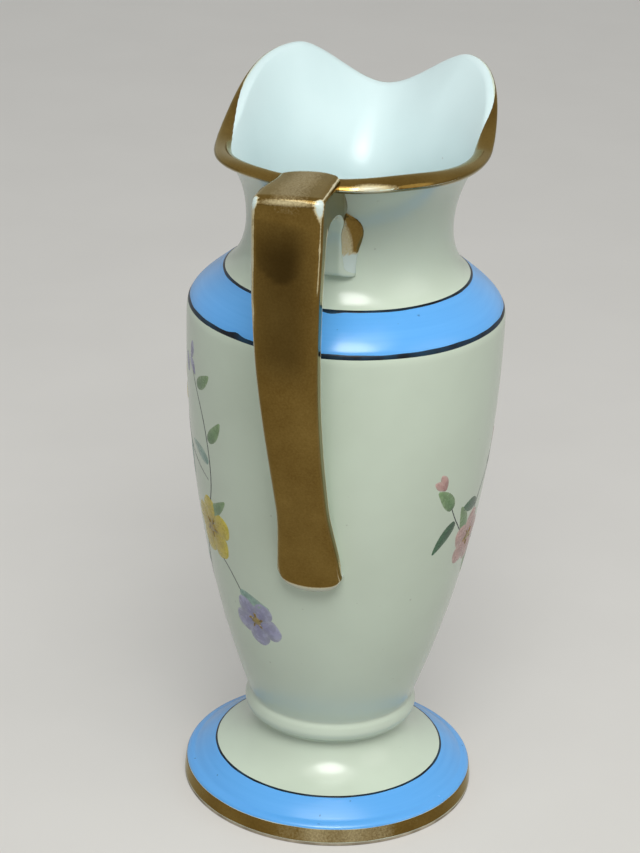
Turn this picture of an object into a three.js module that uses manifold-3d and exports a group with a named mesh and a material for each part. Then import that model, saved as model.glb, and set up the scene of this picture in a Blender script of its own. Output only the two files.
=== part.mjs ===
// A small footed pitcher in painted porcelain: a vase-shaped body with a pouring lip, a turned ring
// at the waist, a hollow pedestal foot and a strap handle, with fired enamel bands and gilding.
// Millimetres, +Z up, table at Z = 0. The spout points to +X and the handle to -X.

import * as THREE from 'three';
import { mergeVertices } from 'three/addons/utils/BufferGeometryUtils.js';
import Module from 'manifold-3d';

const wasm = await Module();
wasm.setup();

// Foot, from the table up
const footRadius = 29.0;
const footRingWidth = 4.2;
const clayEdgeHeight = 0.7;
const giltEdgeHeight = 2.65;
const giltEdgeDraft = 0.3;
const footBandRise = 4.05;
const footLineRadius = 22.5;
const stemRise = 7.5;
const stemRadius = 14.8;
const footWall = 3.2;

// Waist, where the body is set on the foot
const spigotRadius = 11.5;
const luteThickness = 0.4;
const ringHeight = 4.6;
const ringRadius = 17.1;

// Body
const bellyBaseRadius = 16.4;
const bellyHeight = 80.5;
const bellyFullness = 2.15;
const shoulderRadius = 30.1;
const shoulderRound = 3.0;
const shoulderRise = 8.5;
const shoulderTopRadius = 23.0;
const neckRise = 9.2;
const neckRadius = 19.35;
const bodyWall = 2.6;
const floorThickness = 4.0;

// Lip: how far it hangs out past the shoulder, and its rise over the narrowest point of the neck.
// It is shaped by hand, so its waves are turned a little and dip further back on the +Y side.
const lipWall = 1.9;
const lipHalfWidth = 23.9;
const spoutOverhang = 3.2;
const backOverhang = 2.7;
const spoutSquareness = 2.7;
const backSquareness = 2.27;
const lipFlare = 2.0;
const lipSideShift = 0.7;
const lipTurn = THREE.MathUtils.degToRad(2.2);
const spoutRise = 17.9;
const peakRise = 26.5;
const sideRise = 16.4;
const backRise = 18.5;
const peakAngle = THREE.MathUtils.degToRad(32);
const leftDipAngle = THREE.MathUtils.degToRad(112);
const rightDipAngle = THREE.MathUtils.degToRad(94);
const backAngle = THREE.MathUtils.degToRad(160);

// Handle, a flat strap that leaves the rim, bends and runs down to the belly
const fingerGap = 11.7;
const handleProud = 0.1;
const bendRadius = 2.6;
const straightDrop = 24.8;
const strapThickness = 4.5;
const lowerThickness = 3.0;
const strapWidth = 12.4;
const gripWidth = 9.4;
const endWidth = 12.3;
const gripRise = 20.0;
const edgeRound = 1.1;
const endHeight = 54.6;
const endThickness = 2.3;
const endPoint = 2.4;
const armThickness = 5.3;
const armWidth = 11.0;
const armSideShift = 0.7;
const archRadius = 6.5;
const tongueThickness = 2.6;
const tongueDrop = 3.2;
const rootWidth = 14.4;
const handleLean = THREE.MathUtils.degToRad(2.2);
const plumbRise = 16.4;

// Fired coats
const coatThickness = 0.2;
const rimGiltDepth = 2.4;
const lowerLineStart = 1.6;
const lowerLineWidth = 1.2;
const upperLineWidth = 0.6;
const footLineWidth = 0.5;

// Clearances between pieces, and between a coat and what carries it
const seat = 0.3;
const coatGap = 0.05;

// Facets
const turns = 44;
const bevelSteps = 2;
const widthSteps = 4;

// Heights and reaches that follow from the sizes above
const giltTop = clayEdgeHeight + giltEdgeHeight;
const footLineHeight = giltTop + footBandRise;
const footTop = footLineHeight + stemRise;
const luteBottom = footTop + seat;
const spigotBottom = luteBottom + luteThickness + seat;
const ringBottom = footTop + seat;
const ringTop = ringBottom + ringHeight;
const bellyBase = ringTop + seat;
const shoulderHeight = bellyBase + bellyHeight;
const shoulderTop = shoulderHeight + shoulderRise;
const neckHeight = shoulderTop + neckRise;
const handleTop = neckHeight + backRise + handleProud;
const handleReach = shoulderRadius + fingerGap + strapThickness;

const point = (radius, height) => new THREE.Vector2(radius, height);

// Closed body of bare positions, its faces turned outward.
function closedBody(geometry) {
  const bare = geometry.clone();
  bare.deleteAttribute('normal');
  bare.deleteAttribute('uv');
  const merged = mergeVertices(bare, 1e-4);
  const corners = [...merged.index.array];
  const kept = [];
  for (let i = 0; i < corners.length; i += 3) {
    const [a, b, c] = corners.slice(i, i + 3);
    if (a !== b && b !== c && c !== a) kept.push(a, b, c);
  }
  if (signedVolume(merged, kept) < 0) kept.reverse();
  merged.setIndex(kept);
  return merged;
}

function signedVolume(geometry, corners) {
  const place = geometry.getAttribute('position');
  const [a, b, c] = [new THREE.Vector3(), new THREE.Vector3(), new THREE.Vector3()];
  let volume = 0;
  for (let i = 0; i < corners.length; i += 3) {
    a.fromBufferAttribute(place, corners[i]);
    b.fromBufferAttribute(place, corners[i + 1]);
    c.fromBufferAttribute(place, corners[i + 2]);
    volume += a.dot(b.cross(c)) / 6;
  }
  return volume;
}

function toSolid(geometry) {
  return new wasm.Manifold(new wasm.Mesh({
    numProp: 3,
    vertProperties: new Float32Array(geometry.getAttribute('position').array),
    triVerts: new Uint32Array(geometry.index.array),
  }));
}

function toGeometry(solid) {
  const { vertProperties, triVerts } = solid.getMesh();
  const geometry = new THREE.BufferGeometry();
  geometry.setAttribute('position', new THREE.BufferAttribute(new Float32Array(vertProperties), 3));
  geometry.setIndex([...triVerts]);
  return geometry;
}

// Moves every vertex of a geometry by a function of its place.
function bend(geometry, move) {
  const place = geometry.getAttribute('position');
  const vertex = new THREE.Vector3();
  for (let i = 0; i < place.count; i += 1) {
    vertex.fromBufferAttribute(place, i);
    move(vertex);
    place.setXYZ(i, vertex.x, vertex.y, vertex.z);
  }
  return geometry;
}

// Body of revolution about +Z from a profile of radius and height.
function turned(profile) {
  return closedBody(new THREE.LatheGeometry(profile, turns).rotateX(Math.PI / 2));
}

// A run of profile points moved sideways, to the right of the way it runs, by a distance that may
// change along it.
function offsetRun(run, distance, endDistance = distance) {
  return run.map((here, i) => {
    const aside = THREE.MathUtils.lerp(distance, endDistance, i / (run.length - 1));
    const before = run[Math.max(i - 1, 0)];
    const after = run[Math.min(i + 1, run.length - 1)];
    const along = after.clone().sub(before).normalize();
    return point(here.x + along.y * aside, here.y - along.x * aside);
  });
}

// The stretch of a run between two lengths along it.
function stretch(run, from, to) {
  const kept = [];
  let travelled = 0;
  for (let i = 1; i < run.length; i += 1) {
    const step = run[i].distanceTo(run[i - 1]);
    const place = (length) => run[i - 1].clone().lerp(run[i], (length - travelled) / step);
    if (from >= travelled && from < travelled + step) kept.push(place(from));
    if (to > travelled && to <= travelled + step) kept.push(place(to));
    else if (travelled + step > from && travelled + step < to) kept.push(run[i]);
    travelled += step;
  }
  return kept;
}

function runLength(run) {
  return run.slice(1).reduce((sum, here, i) => sum + here.distanceTo(run[i]), 0);
}

// Closed profile of a thin coat that lies on a run, short of its ends by the coat's gap.
function coatProfile(run, from = 0, to = runLength(run)) {
  const carried = stretch(run, from + coatGap, to - coatGap);
  const inner = offsetRun(carried, coatGap);
  const outer = offsetRun(carried, coatGap + coatThickness);
  return [...inner, ...outer.reverse(), inner[0].clone()];
}

// Outer profile of the foot, from the table up to its top
const footEdgeRun = [point(footRadius, clayEdgeHeight), point(footRadius - giltEdgeDraft, giltTop)];
const footBandRun = new THREE.QuadraticBezierCurve(
  point(footRadius - giltEdgeDraft, giltTop),
  point((footLineRadius + footRadius) / 2, (footLineHeight + giltTop) / 2 + giltEdgeDraft),
  point(footLineRadius, footLineHeight),
).getPoints(3);
const stemRun = new THREE.QuadraticBezierCurve(
  point(footLineRadius, footLineHeight),
  point(THREE.MathUtils.lerp(stemRadius, footLineRadius, 0.2), footLineHeight + stemRise * 0.25),
  point(stemRadius, footTop),
).getPoints(6);

function footProfile() {
  const roof = footTop - footWall;
  const hollow = new THREE.QuadraticBezierCurve(
    point(stemRadius - footWall, roof),
    point(stemRadius, footLineHeight - footWall),
    point(footRadius - footRingWidth, 0),
  ).getPoints(5);
  const outer = [...footEdgeRun, ...footBandRun.slice(1), ...stemRun.slice(1)];
  return [point(0, roof), ...hollow, point(footRadius, 0), ...outer, point(0, footTop)];
}

function ringProfile() {
  const bead = ringHeight / 2;
  const inner = spigotRadius + seat;
  const rounded = new THREE.EllipseCurve(
    ringRadius - bead, ringBottom + bead, bead, bead, -Math.PI / 2, Math.PI / 2,
  ).getPoints(6);
  return [point(inner, ringBottom), ...rounded, point(inner, ringTop), point(inner, ringBottom)];
}

function luteProfile() {
  const luteTop = luteBottom + luteThickness;
  return [point(0, luteBottom), point(spigotRadius, luteBottom), point(spigotRadius, luteTop), point(0, luteTop)];
}

// Outer profile of the body, from the waist up to the lip. Above the neck it is a plain tube,
// which lipFlow then draws out into the wavy pouring lip.
function bellyRadius(height) {
  const left = Math.max(0, 1 - (height - bellyBase) / bellyHeight);
  return shoulderRadius - (shoulderRadius - bellyBaseRadius) * left ** bellyFullness;
}

const bellySteps = 8;
const bellyRun = [...Array(bellySteps + 1).keys()].map((step) => {
  const height = bellyBase + (bellyHeight * step) / bellySteps;
  return point(bellyRadius(height), height);
});

const shoulderEnd = point(shoulderTopRadius, shoulderTop);
const shoulderCorner = point(shoulderRadius, shoulderHeight + shoulderRound);
const shoulderLead = shoulderCorner.clone().lerp(shoulderEnd, 0.25);
const shoulderRun = new THREE.CubicBezierCurve(
  point(shoulderRadius, shoulderHeight), shoulderCorner, shoulderLead, shoulderEnd,
).getPoints(6);
const neckRun = new THREE.CubicBezierCurve(
  shoulderEnd,
  shoulderEnd.clone().add(shoulderEnd.clone().sub(shoulderLead).setLength(neckRise / 4)),
  point(neckRadius, neckHeight - neckRise / 2),
  point(neckRadius, neckHeight),
).getPoints(5);

const tubeRise = backRise;
const tubeTop = neckHeight + tubeRise;
const lipRound = lipWall / 2;
const tubeSteps = 5;
const tubeFoot = neckHeight + tubeRise / tubeSteps;
const rimFoot = tubeTop - lipRound - rimGiltDepth;
const tubeRun = [...Array(tubeSteps).keys()].map((step) => {
  const share = step / (tubeSteps - 1);
  return point(neckRadius, THREE.MathUtils.lerp(tubeFoot, rimFoot, share));
});
const crestRun = new THREE.EllipseCurve(
  neckRadius - lipRound, tubeTop - lipRound, lipRound, lipRound, 0, Math.PI,
).getPoints(6);
const rimRun = [point(neckRadius, rimFoot), ...crestRun.slice(0, -1)];

function outerRun() {
  return [...bellyRun, ...shoulderRun.slice(1), ...neckRun.slice(1), ...tubeRun, ...crestRun];
}

function bodyProfile() {
  const floor = bellyBase + floorThickness;
  const wall = [...bellyRun, ...shoulderRun.slice(1), ...neckRun.slice(1)];
  const inside = offsetRun(wall, -bodyWall).filter((here) => here.y > floor + bodyWall).reverse();
  const mouth = tubeRun.slice(1).reverse().map((here) => point(neckRadius - lipWall, here.y));
  const stub = [point(0, spigotBottom), point(spigotRadius, spigotBottom), point(spigotRadius, bellyBase)];
  return [
    ...stub, ...outerRun(), ...mouth, ...inside,
    point(bellyBaseRadius - bodyWall, floor), point(0, floor),
  ];
}

// Plan of the lip: a rounded oblong, its reach from the axis at an angle from the spout.
function lipReach(angle) {
  const front = Math.cos(angle) > 0;
  const length = shoulderRadius + (front ? spoutOverhang : backOverhang);
  const power = front ? spoutSquareness : backSquareness;
  const along = Math.abs(Math.cos(angle)) / length;
  const across = Math.abs(Math.sin(angle)) / lipHalfWidth;
  return (along ** power + across ** power) ** (-1 / power);
}

// Height of the lip over the neck: low at the spout, a peak each side of it, low again at the sides.
function lipRise(angle) {
  const { euclideanModulo, lerp, smoothstep } = THREE.MathUtils;
  const turn = euclideanModulo(angle - lipTurn + Math.PI, 2 * Math.PI) - Math.PI;
  const dipAngle = turn > 0 ? leftDipAngle : rightDipAngle;
  const away = Math.abs(turn);
  if (away < peakAngle) return lerp(spoutRise, peakRise, smoothstep(away, 0, peakAngle));
  if (away < dipAngle) return lerp(peakRise, sideRise, smoothstep(away, peakAngle, dipAngle));
  return lerp(sideRise, backRise, smoothstep(away, dipAngle, backAngle));
}

// Draws the plain tube above the neck out to the lip's plan and height, a little off the axis.
function lipFlow(vertex) {
  const climb = (vertex.z - neckHeight) / tubeRise;
  if (climb <= 0) return;
  const flared = Math.min(1, (vertex.z - neckHeight) / (tubeRise - lipRound)) ** lipFlare;
  const angle = Math.atan2(vertex.y, vertex.x);
  const radius = Math.hypot(vertex.x, vertex.y);
  const shift = (lipReach(angle) - neckRadius) * flared;
  const grown = radius > 0 ? (radius + shift) / radius : 1;
  const rise = lipRise(angle);
  vertex.x *= grown;
  vertex.y = vertex.y * grown - lipSideShift * flared;
  vertex.z = neckHeight + Math.min(climb, 1) * rise + Math.max(climb - 1, 0) * tubeRise;
}

const flowed = (profile) => bend(turned(profile), lipFlow);

// Solid that fills the body to its outer face and a clearance, and stands clear above the lip.
function bodyFill(clearance) {
  const wall = offsetRun([...bellyRun, ...shoulderRun.slice(1), ...neckRun.slice(1), ...tubeRun], clearance);
  const over = tubeTop + tubeRise;
  const lip = [point(neckRadius + clearance, tubeTop - lipRound), point(neckRadius + clearance, over)];
  const profile = [point(0, bellyBase), point(wall[0].x, bellyBase), ...wall.slice(1), ...lip, point(0, over)];
  return toSolid(flowed(profile));
}

// Side view of the handle, as reach from the axis and height.
const straightEnd = handleTop - straightDrop;
const endReach = bellyRadius(endHeight) + endThickness;
const fallRun = new THREE.CubicBezierCurve(
  point(handleReach, straightEnd),
  point(handleReach, THREE.MathUtils.lerp(straightEnd, endHeight, 0.35)),
  point(endReach + strapThickness * 0.75, THREE.MathUtils.lerp(straightEnd, endHeight, 0.73)),
  point(endReach, endHeight),
).getPoints(14);
const bendRun = new THREE.EllipseCurve(
  handleReach - bendRadius, handleTop - bendRadius, bendRadius, bendRadius, Math.PI / 2, 0, true,
).getPoints(4);
const faceRun = [point(neckRadius, handleTop), ...bendRun, ...fallRun];

function undersideRun() {
  const innerReach = handleReach - strapThickness;
  const apex = handleTop - armThickness;
  const tongueReach = neckRadius + tongueThickness;
  const tongueEnd = neckHeight - tongueDrop;
  const arch = new THREE.EllipseCurve(
    innerReach - archRadius, apex - archRadius, archRadius, archRadius, 0, Math.PI / 2,
  ).getPoints(5);
  const tongue = new THREE.CubicBezierCurve(
    arch.at(-1),
    point(THREE.MathUtils.lerp(tongueReach, innerReach - archRadius, 0.4), apex),
    point(tongueReach, THREE.MathUtils.lerp(apex, tongueEnd, 0.45)),
    point(tongueReach, tongueEnd),
  ).getPoints(8).slice(1);
  const tip = point(neckRadius, tongueEnd - tongueThickness / 2);
  const inner = offsetRun(fallRun, strapThickness, lowerThickness).reverse();
  return [...inner, ...arch, ...tongue, tip];
}

// Strap width, narrowed at the grip and spread again at the lower end.
function widthAt(height) {
  const { lerp, smoothstep } = THREE.MathUtils;
  const grip = endHeight + gripRise;
  if (height > grip) return lerp(gripWidth, strapWidth, smoothstep(height, grip, handleTop - bendRadius));
  return lerp(endWidth, gripWidth, smoothstep(height, endHeight, grip));
}

// Gives the extruded strap its width, its narrower arm, its spread root, its pointed lower end and its
// lean out of plumb.
function strapFlow(vertex) {
  const { smoothstep } = THREE.MathUtils;
  const { x, y, z: height } = vertex;
  const nearEnd = 1 - smoothstep(height, endHeight, endHeight + 2 * endPoint);
  const point = nearEnd * endPoint * Math.min(1, (2 * y / strapWidth) ** 2);
  const upper = height > straightEnd ? 1 : 0;
  const arm = upper * (1 - smoothstep(-x, lipReach(Math.PI), handleReach - strapThickness));
  const root = upper * (1 - smoothstep(-x, neckRadius, neckRadius + tongueThickness));
  const width = widthAt(height) + arm * (armWidth - strapWidth) + root * (rootWidth - armWidth);
  const lean = Math.tan(handleLean) * (Math.min(height, neckHeight) - endHeight - plumbRise);
  vertex.y = y * width / strapWidth + lean - armSideShift * arm;
  vertex.z += point;
}

// Extrudes a side view across a width, centred on the handle's plane.
function strap(outline, width, round) {
  const shape = new THREE.Shape(outline.map((here) => point(-here.x, here.y)));
  const extruded = new THREE.ExtrudeGeometry(shape, {
    depth: width - 2 * round,
    steps: widthSteps,
    bevelEnabled: round > 0,
    bevelThickness: round,
    bevelSize: round,
    bevelOffset: -round,
    bevelSegments: bevelSteps,
  });
  extruded.translate(0, 0, round - width / 2).rotateX(Math.PI / 2);
  return bend(closedBody(extruded), strapFlow);
}

function box(low, high) {
  const size = new THREE.Vector3().subVectors(high, low);
  const middle = new THREE.Vector3().addVectors(high, low).multiplyScalar(0.5);
  return toSolid(closedBody(new THREE.BoxGeometry(...size).translate(...middle)));
}

function handleSolids() {
  const blank = toSolid(strap([...faceRun, ...undersideRun()], strapWidth, edgeRound));
  const slip = blank.intersect(bodyFill(2 * seat).subtract(bodyFill(seat)));
  const far = handleReach + handleTop;
  const split = (endHeight + neckHeight) / 2;
  const below = box(new THREE.Vector3(-far, -far, 0), new THREE.Vector3(far, far, split));
  return {
    handle: blank.subtract(bodyFill(3 * seat)),
    lowerLute: slip.intersect(below),
    upperLute: slip.subtract(below),
  };
}

// Gilding on the strap's top and outer face, between its rounded edges.
function faceCoat() {
  const start = lipReach(Math.PI) + 4 * seat - neckRadius;
  const run = stretch(faceRun, start, runLength(faceRun) - 2.5 * endPoint);
  const inner = offsetRun(run, -coatGap);
  const outer = offsetRun(run, -coatGap - coatThickness);
  return strap([...inner, ...outer.reverse()], strapWidth - 2 * edgeRound, 0);
}

// Materials
const glaze = () => new THREE.MeshStandardMaterial({ color: 0xd9dfcc, roughness: 0.12, metalness: 0 });
const slipClay = () => new THREE.MeshStandardMaterial({ color: 0xcfcabb, roughness: 0.8, metalness: 0 });
const blue = () => new THREE.MeshStandardMaterial({ color: 0x5aa9ee, roughness: 0.2, metalness: 0 });
const ink = () => new THREE.MeshStandardMaterial({ color: 0x10202e, roughness: 0.35, metalness: 0 });
const gilt = () => new THREE.MeshStandardMaterial({ color: 0x8a6a34, roughness: 0.3, metalness: 0.9 });

function piece(name, geometry, material) {
  geometry.computeVertexNormals();
  const mesh = new THREE.Mesh(geometry, material);
  mesh.name = name;
  return mesh;
}

const footLineStart = runLength(footBandRun) - footLineWidth;
const foot = new THREE.Group();
foot.add(
  piece('pedestal_foot', turned(footProfile()), glaze()),
  piece('foot_lute', turned(luteProfile()), slipClay()),
  piece('waist_ring', turned(ringProfile()), glaze()),
  piece('foot_enamel', turned(coatProfile(footBandRun, 0, footLineStart)), blue()),
  piece('foot_line', turned(coatProfile(footBandRun, footLineStart)), ink()),
  piece('foot_edge_gilding', turned(coatProfile(footEdgeRun)), gilt()),
);

const lowerLineEnd = lowerLineStart + lowerLineWidth;
const upperLineStart = runLength(shoulderRun) - upperLineWidth;
const body = new THREE.Group();
body.add(
  piece('vessel_body', flowed(bodyProfile()), glaze()),
  piece('shoulder_lower_line', turned(coatProfile(shoulderRun, lowerLineStart, lowerLineEnd)), ink()),
  piece('shoulder_enamel', turned(coatProfile(shoulderRun, lowerLineEnd, upperLineStart)), blue()),
  piece('shoulder_upper_line', turned(coatProfile(shoulderRun, upperLineStart)), ink()),
  piece('rim_gilding', flowed(coatProfile(rimRun)), gilt()),
);

const solids = handleSolids();
const handle = new THREE.Group();
handle.add(
  piece('handle', toGeometry(solids.handle), glaze()),
  piece('handle_upper_lute', toGeometry(solids.upperLute), slipClay()),
  piece('handle_lower_lute', toGeometry(solids.lowerLute), slipClay()),
  piece('handle_gilding', faceCoat(), gilt()),
);

// The origin lies under the middle of the whole part, handle and spout included.
const pitcher = new THREE.Group();
pitcher.name = 'pitcher';
pitcher.position.x = (handleReach - lipReach(0)) / 2;
pitcher.add(foot, body, handle);

export default pitcher;
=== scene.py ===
"""Footed porcelain pitcher: glazed body, ring, foot and handle, gilding, enamel bands and painted sprays.

Lengths are millimetres round the body's axis, with the spout to +X, until a piece is made in metres.
"""

import math

import bmesh
import bpy
import numpy as np
from mathutils import Matrix, Vector


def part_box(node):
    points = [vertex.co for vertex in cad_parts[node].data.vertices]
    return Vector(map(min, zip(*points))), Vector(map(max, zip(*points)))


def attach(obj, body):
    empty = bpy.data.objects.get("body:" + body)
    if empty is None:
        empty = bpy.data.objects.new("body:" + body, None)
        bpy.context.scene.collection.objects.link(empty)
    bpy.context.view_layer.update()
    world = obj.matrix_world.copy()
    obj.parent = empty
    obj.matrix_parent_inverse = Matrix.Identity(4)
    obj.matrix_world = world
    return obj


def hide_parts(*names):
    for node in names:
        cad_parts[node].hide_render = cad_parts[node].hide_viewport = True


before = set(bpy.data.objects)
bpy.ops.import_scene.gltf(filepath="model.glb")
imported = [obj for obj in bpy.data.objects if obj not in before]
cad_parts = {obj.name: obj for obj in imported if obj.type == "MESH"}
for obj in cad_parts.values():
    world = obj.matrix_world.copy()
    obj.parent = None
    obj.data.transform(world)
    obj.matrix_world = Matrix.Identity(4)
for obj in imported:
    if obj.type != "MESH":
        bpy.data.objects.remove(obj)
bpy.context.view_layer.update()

MM = 0.001
FOOT_LOW, FOOT_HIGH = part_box("pedestal_foot")
AXIS_X = (FOOT_LOW.x + FOOT_HIGH.x) / 2 / MM

# Foot, from the table up
FOOT_RADIUS = 29.0
FOOT_RING_WIDTH = 4.2
FOOT_EDGE_ROUND = 0.25
CLAY_HEIGHT = 0.7
GILT_TOP = 3.35
GILT_DRAFT = 0.3
FOOT_CORNER = 1.0
FOOT_LINE = (22.5, 7.4)
STEM_BEND = (16.34, 9.28)
STEM_TOP = (14.8, 14.9)
FOOT_CROWN = (0.15, 0.25)
FOOT_WALL = 3.2
HOLLOW_SPREAD = 2.0
HOLLOW_EDGE = 0.6
RING_ROUND = 0.9

# Waist: the crease over the stem, the bead, and the hollow under the belly
STEM_SEAM = (15.0, 14.3)
STEM_SEAM_GAP = 0.2
WAIST_POINTS = [
    STEM_SEAM, (14.85, 14.95), (15.5, 15.55), (16.65, 16.35), (17.1, 17.5),
    (16.9, 18.75), (16.5, 19.65), (16.5, 20.4), (16.87, 21.4),
]
RING_BORE = 11.8
SPIGOT_RADIUS = 11.5
SPIGOT_BOTTOM = 15.9
WAIST_OVERLAP = 0.1

# Body
BELLY_BASE = 20.1
BELLY_BASE_RADIUS = 16.4
BELLY_HEIGHT = 80.5
BELLY_FULLNESS = 2.15
SHOULDER_RADIUS = 30.1
SHOULDER_HEIGHT = 100.6
SHOULDER_ROUND = 3.0
SHOULDER_LEAD = 0.25
SHOULDER_TOP = 109.1
SHOULDER_TOP_RADIUS = 23.0
NECK_HEIGHT = 118.3
NECK_RADIUS = 19.35
BODY_WALL = 2.6
FLOOR_THICKNESS = 4.0
HEEL_LEAD, HEEL_WIDTH = 0.6, 5.0

# Lip
LIP_WALL = 1.9
LIP_ROUND = LIP_WALL / 2
CREST_FULLNESS = 1.35
THROAT_JOIN = 2.0
LIP_HALF_WIDTH = 23.9
SPOUT_REACH = 33.3
BACK_REACH = 32.8
SPOUT_SQUARENESS = 2.7
BACK_SQUARENESS = 2.27
LIP_SIDE_SHIFT = 0.7
LIP_TURN = math.radians(2.2)
SPOUT_RISE, PEAK_RISE, SIDE_RISE, BACK_RISE = 17.9, 26.5, 16.4, 18.5
PEAK_ANGLE, BACK_ANGLE = math.radians(32), math.radians(160)
LEFT_DIP_ANGLE, RIGHT_DIP_ANGLE = math.radians(112), math.radians(94)
TUBE_TOP = NECK_HEIGHT + BACK_RISE

# Bead rolled under the lip's crest: its thickness, and how far below the crest it fades out
LIP_BEAD = 1.2
BEAD_TOP, BEAD_BOTTOM = 0.6, 4.6
# Its fullness goes from the spout's share to all of it by the cosine towards the handle
BEAD_AT_SPOUT, BEAD_START, BEAD_FULL = 0.2, -0.9, 0.1
# Lip and bead swell beside the handle, at an angle and over half widths in degrees
SWELL_ANGLE = 205
BACK_SWELL, SWELL_SPREAD = 0.8, 20
BEAD_SWELL, BEAD_SPREAD = 0.7, 25

# Handle
HANDLE_REACH = 46.3
HANDLE_TOP = 136.9
BEND_RADIUS = 1.5
STRAIGHT_END = 112.1
STRAP_THICKNESS = 4.5
LOWER_THICKNESS = 3.0
STRAP_WIDTH = 12.4
GRIP_WIDTH = 9.4
END_WIDTH = 12.3
GRIP_HEIGHT = 74.6
END_HEIGHT = 54.6
END_THICKNESS = 2.3
END_POINT = 2.4
END_CORNER = 0.7
END_SKEW = 0.12
END_NOSE = 1.4
END_TUCK = 3.4
END_SUNK = 1.2
END_FOLD = 0.2
FALL_KICK = 0.75 * STRAP_THICKNESS
FALL_LOW, FALL_HIGH = 0.73, 0.35
ARM_THICKNESS = 6.8
ARM_WIDTH = 11.0
ARM_SIDE_SHIFT = 0.7
ARCH_RADIUS = 3.2
TONGUE_THICKNESS = 2.6
TONGUE_END = 115.9
TONGUE_LEAD, TONGUE_FALL = 0.4, 0.45
TONGUE_ROUND, TONGUE_TIP = 1.2, 1.4
TONGUE_WIDTH = 8.8
TONGUE_REACHES = (NECK_RADIUS + 3.5, NECK_RADIUS + 9.0)
TONGUE_HEIGHTS = (124.0, 130.0)
ROOT_FLARE = 3.6
ROOT_FLARE_HEIGHT = 123.0
ROOT_FLARE_RISE = 3.6
ROOT_FLARE_FALL = 3.6
ROOT_FOOT_SHARE = 0.62
ROOT_FLARE_SKIN = 0.2
ROOT_START = 3.2
ROOT_HIDDEN = 2.5
HANDLE_LEAN = math.radians(2.2)
PLUMB_HEIGHT = 71.0
OUTER_CORNER = 1.15
INNER_CORNER = 0.9
CORNER_LIMIT = 0.45
STRAP_CROWN = 0.3
ROOT_DEPTH = 1.0
# The arm's back end laps over the lip and is rounded off, as reach past the lap and drop
ARM_LAP = 0.8
LAP_ROUND = ((1.0, 0.05), (0.2, 0.4), (0.1, 1.1), (0.6, 2.1))
ARM_BACK_ROUND = 2.2
ARM_BACK_LENGTH = 2.5
ARM_BACK_HEIGHTS = (134.0, 135.5)
FACE_STEPS, SIDE_STEPS, CORNER_STEPS = 24, 12, 6

# Fired coats stand this proud of the glaze, and reach this far into it
COAT_PROUD = 0.06
COAT_SUNK = 0.08
COAT_EDGE_SUNK = 0.01
# Coats stop this far short of the end of the run that carries them, and bands run under their lines
EDGE_INSET = 0.02
BAND_OVERLAP = 0.2
LOWER_LINE_START = 1.6
LOWER_LINE_WIDTH = 0.95
UPPER_LINE_WIDTH = 0.6
FOOT_LINE_WIDTH = 0.5
FOOT_BAND_START, FOOT_BAND_OVERLAP = 0.07, 0.15
# Where the brush dwelt on the lower line and overlapped its start on the upper one: angle and half
# width in degrees, and extra width
BRUSH_DWELL = (149, 2.5, 0.45)
BRUSH_OVERLAP = (184.5, 4.0, 0.5)

# Gold on the rim. Its reach over the crest goes by the cosine towards the handle.
RIM_GILT_DEPTH = 3.0
RIM_GILT_INSIDE = 0.6
RIM_GILT_SPOUT = 0.3
CREST_GILT_START, CREST_GILT_LEFT, CREST_GILT_RIGHT = -0.65, 0.7, -0.1
RIM_ROWS, MOUTH_ROWS = 12, 5
# Share of the rim rows over which the crest's painted highlight spreads
RIM_HIGHLIGHT_SPREAD = 0.16

# Gold on the foot's edge and on the handle
FOOT_GILT_START, FOOT_GILT_LAP = 0.05, 0.25
STRAP_GILT_ROW = 5
ARM_GILT_LAP = 3.0
ROOT_GILT_REACH = 8.0
ROOT_GILT_END, ROOT_GILT_BLUR = 118.9, 0.8

# Wear of the gold, with painted highlights and dark reflections on the same layer: whole up to 0.4,
# cream at 0.6, bare at 0.9, and dark below zero as painted dark reflection.
# A painted highlight has its angle and half width in degrees and its depth.
FOOT_WEAR, FOOT_PAINTED_HIGHLIGHT = 0.36, (196, 22, 0.13)
RIM_WEAR, RIM_PATCHES, RIM_PAINTED_HIGHLIGHT = 0.18, 0.2, (197, 9, 0.5)
# The arm's top value is a painted sheen; the left and right values are wear along its edges
ARM_TOP_PAINTED_SHEEN, ARM_LEFT_WEAR, ARM_RIGHT_WEAR = 0.45, 0.55, 0.66
LEFT_WEAR, LEFT_WEAR_HEIGHTS = 0.72, (110, 116)
RIGHT_WEAR, RIGHT_WEAR_HEIGHTS = 0.62, (117, 122)
FLANK_WEAR = 0.75
END_EDGE_WEAR, END_EDGE_HEIGHTS = 0.6, (58, 67)
END_SIDE_WEAR, END_SIDE_HEIGHTS = 0.68, (57, 70)
END_WEAR, END_WEAR_ROWS = 0.74, (11, 13)
CORNER_BARE, CORNER_BACK, CORNER_THIN = 1.4, 0.8, 0.35
# The bend's wear is widened into a painted highlight; the grip value is a painted sheen under the bend
BEND_WEAR_AND_HIGHLIGHT, BEND_BELOW, BEND_SPREAD = 0.57, 0.5, 1.2
GRIP_PAINTED_SHEEN, GRIP_DROP_LEFT, GRIP_DROP_RIGHT, GRIP_FULL = 0.41, 3.8, 6.2, 0.45
ROOT_STREAK, ROOT_BARE = 0.62, 1.3
ROOT_STREAK_REACHES = (NECK_RADIUS + 4, BACK_REACH - 2)
# In columns of the gold: a flank past the face's corner, and the root's streak in from the outer edge
FLANK_START, FLANK_FULL = 1, 4
STREAK_START, STREAK_FULL = 15, 11
# A worn line wavers along its rows, in width and depth
WAVER_ROWS, WAVER_WIDTH, WAVER_DEPTH = 40, 0.45, 0.15

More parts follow.
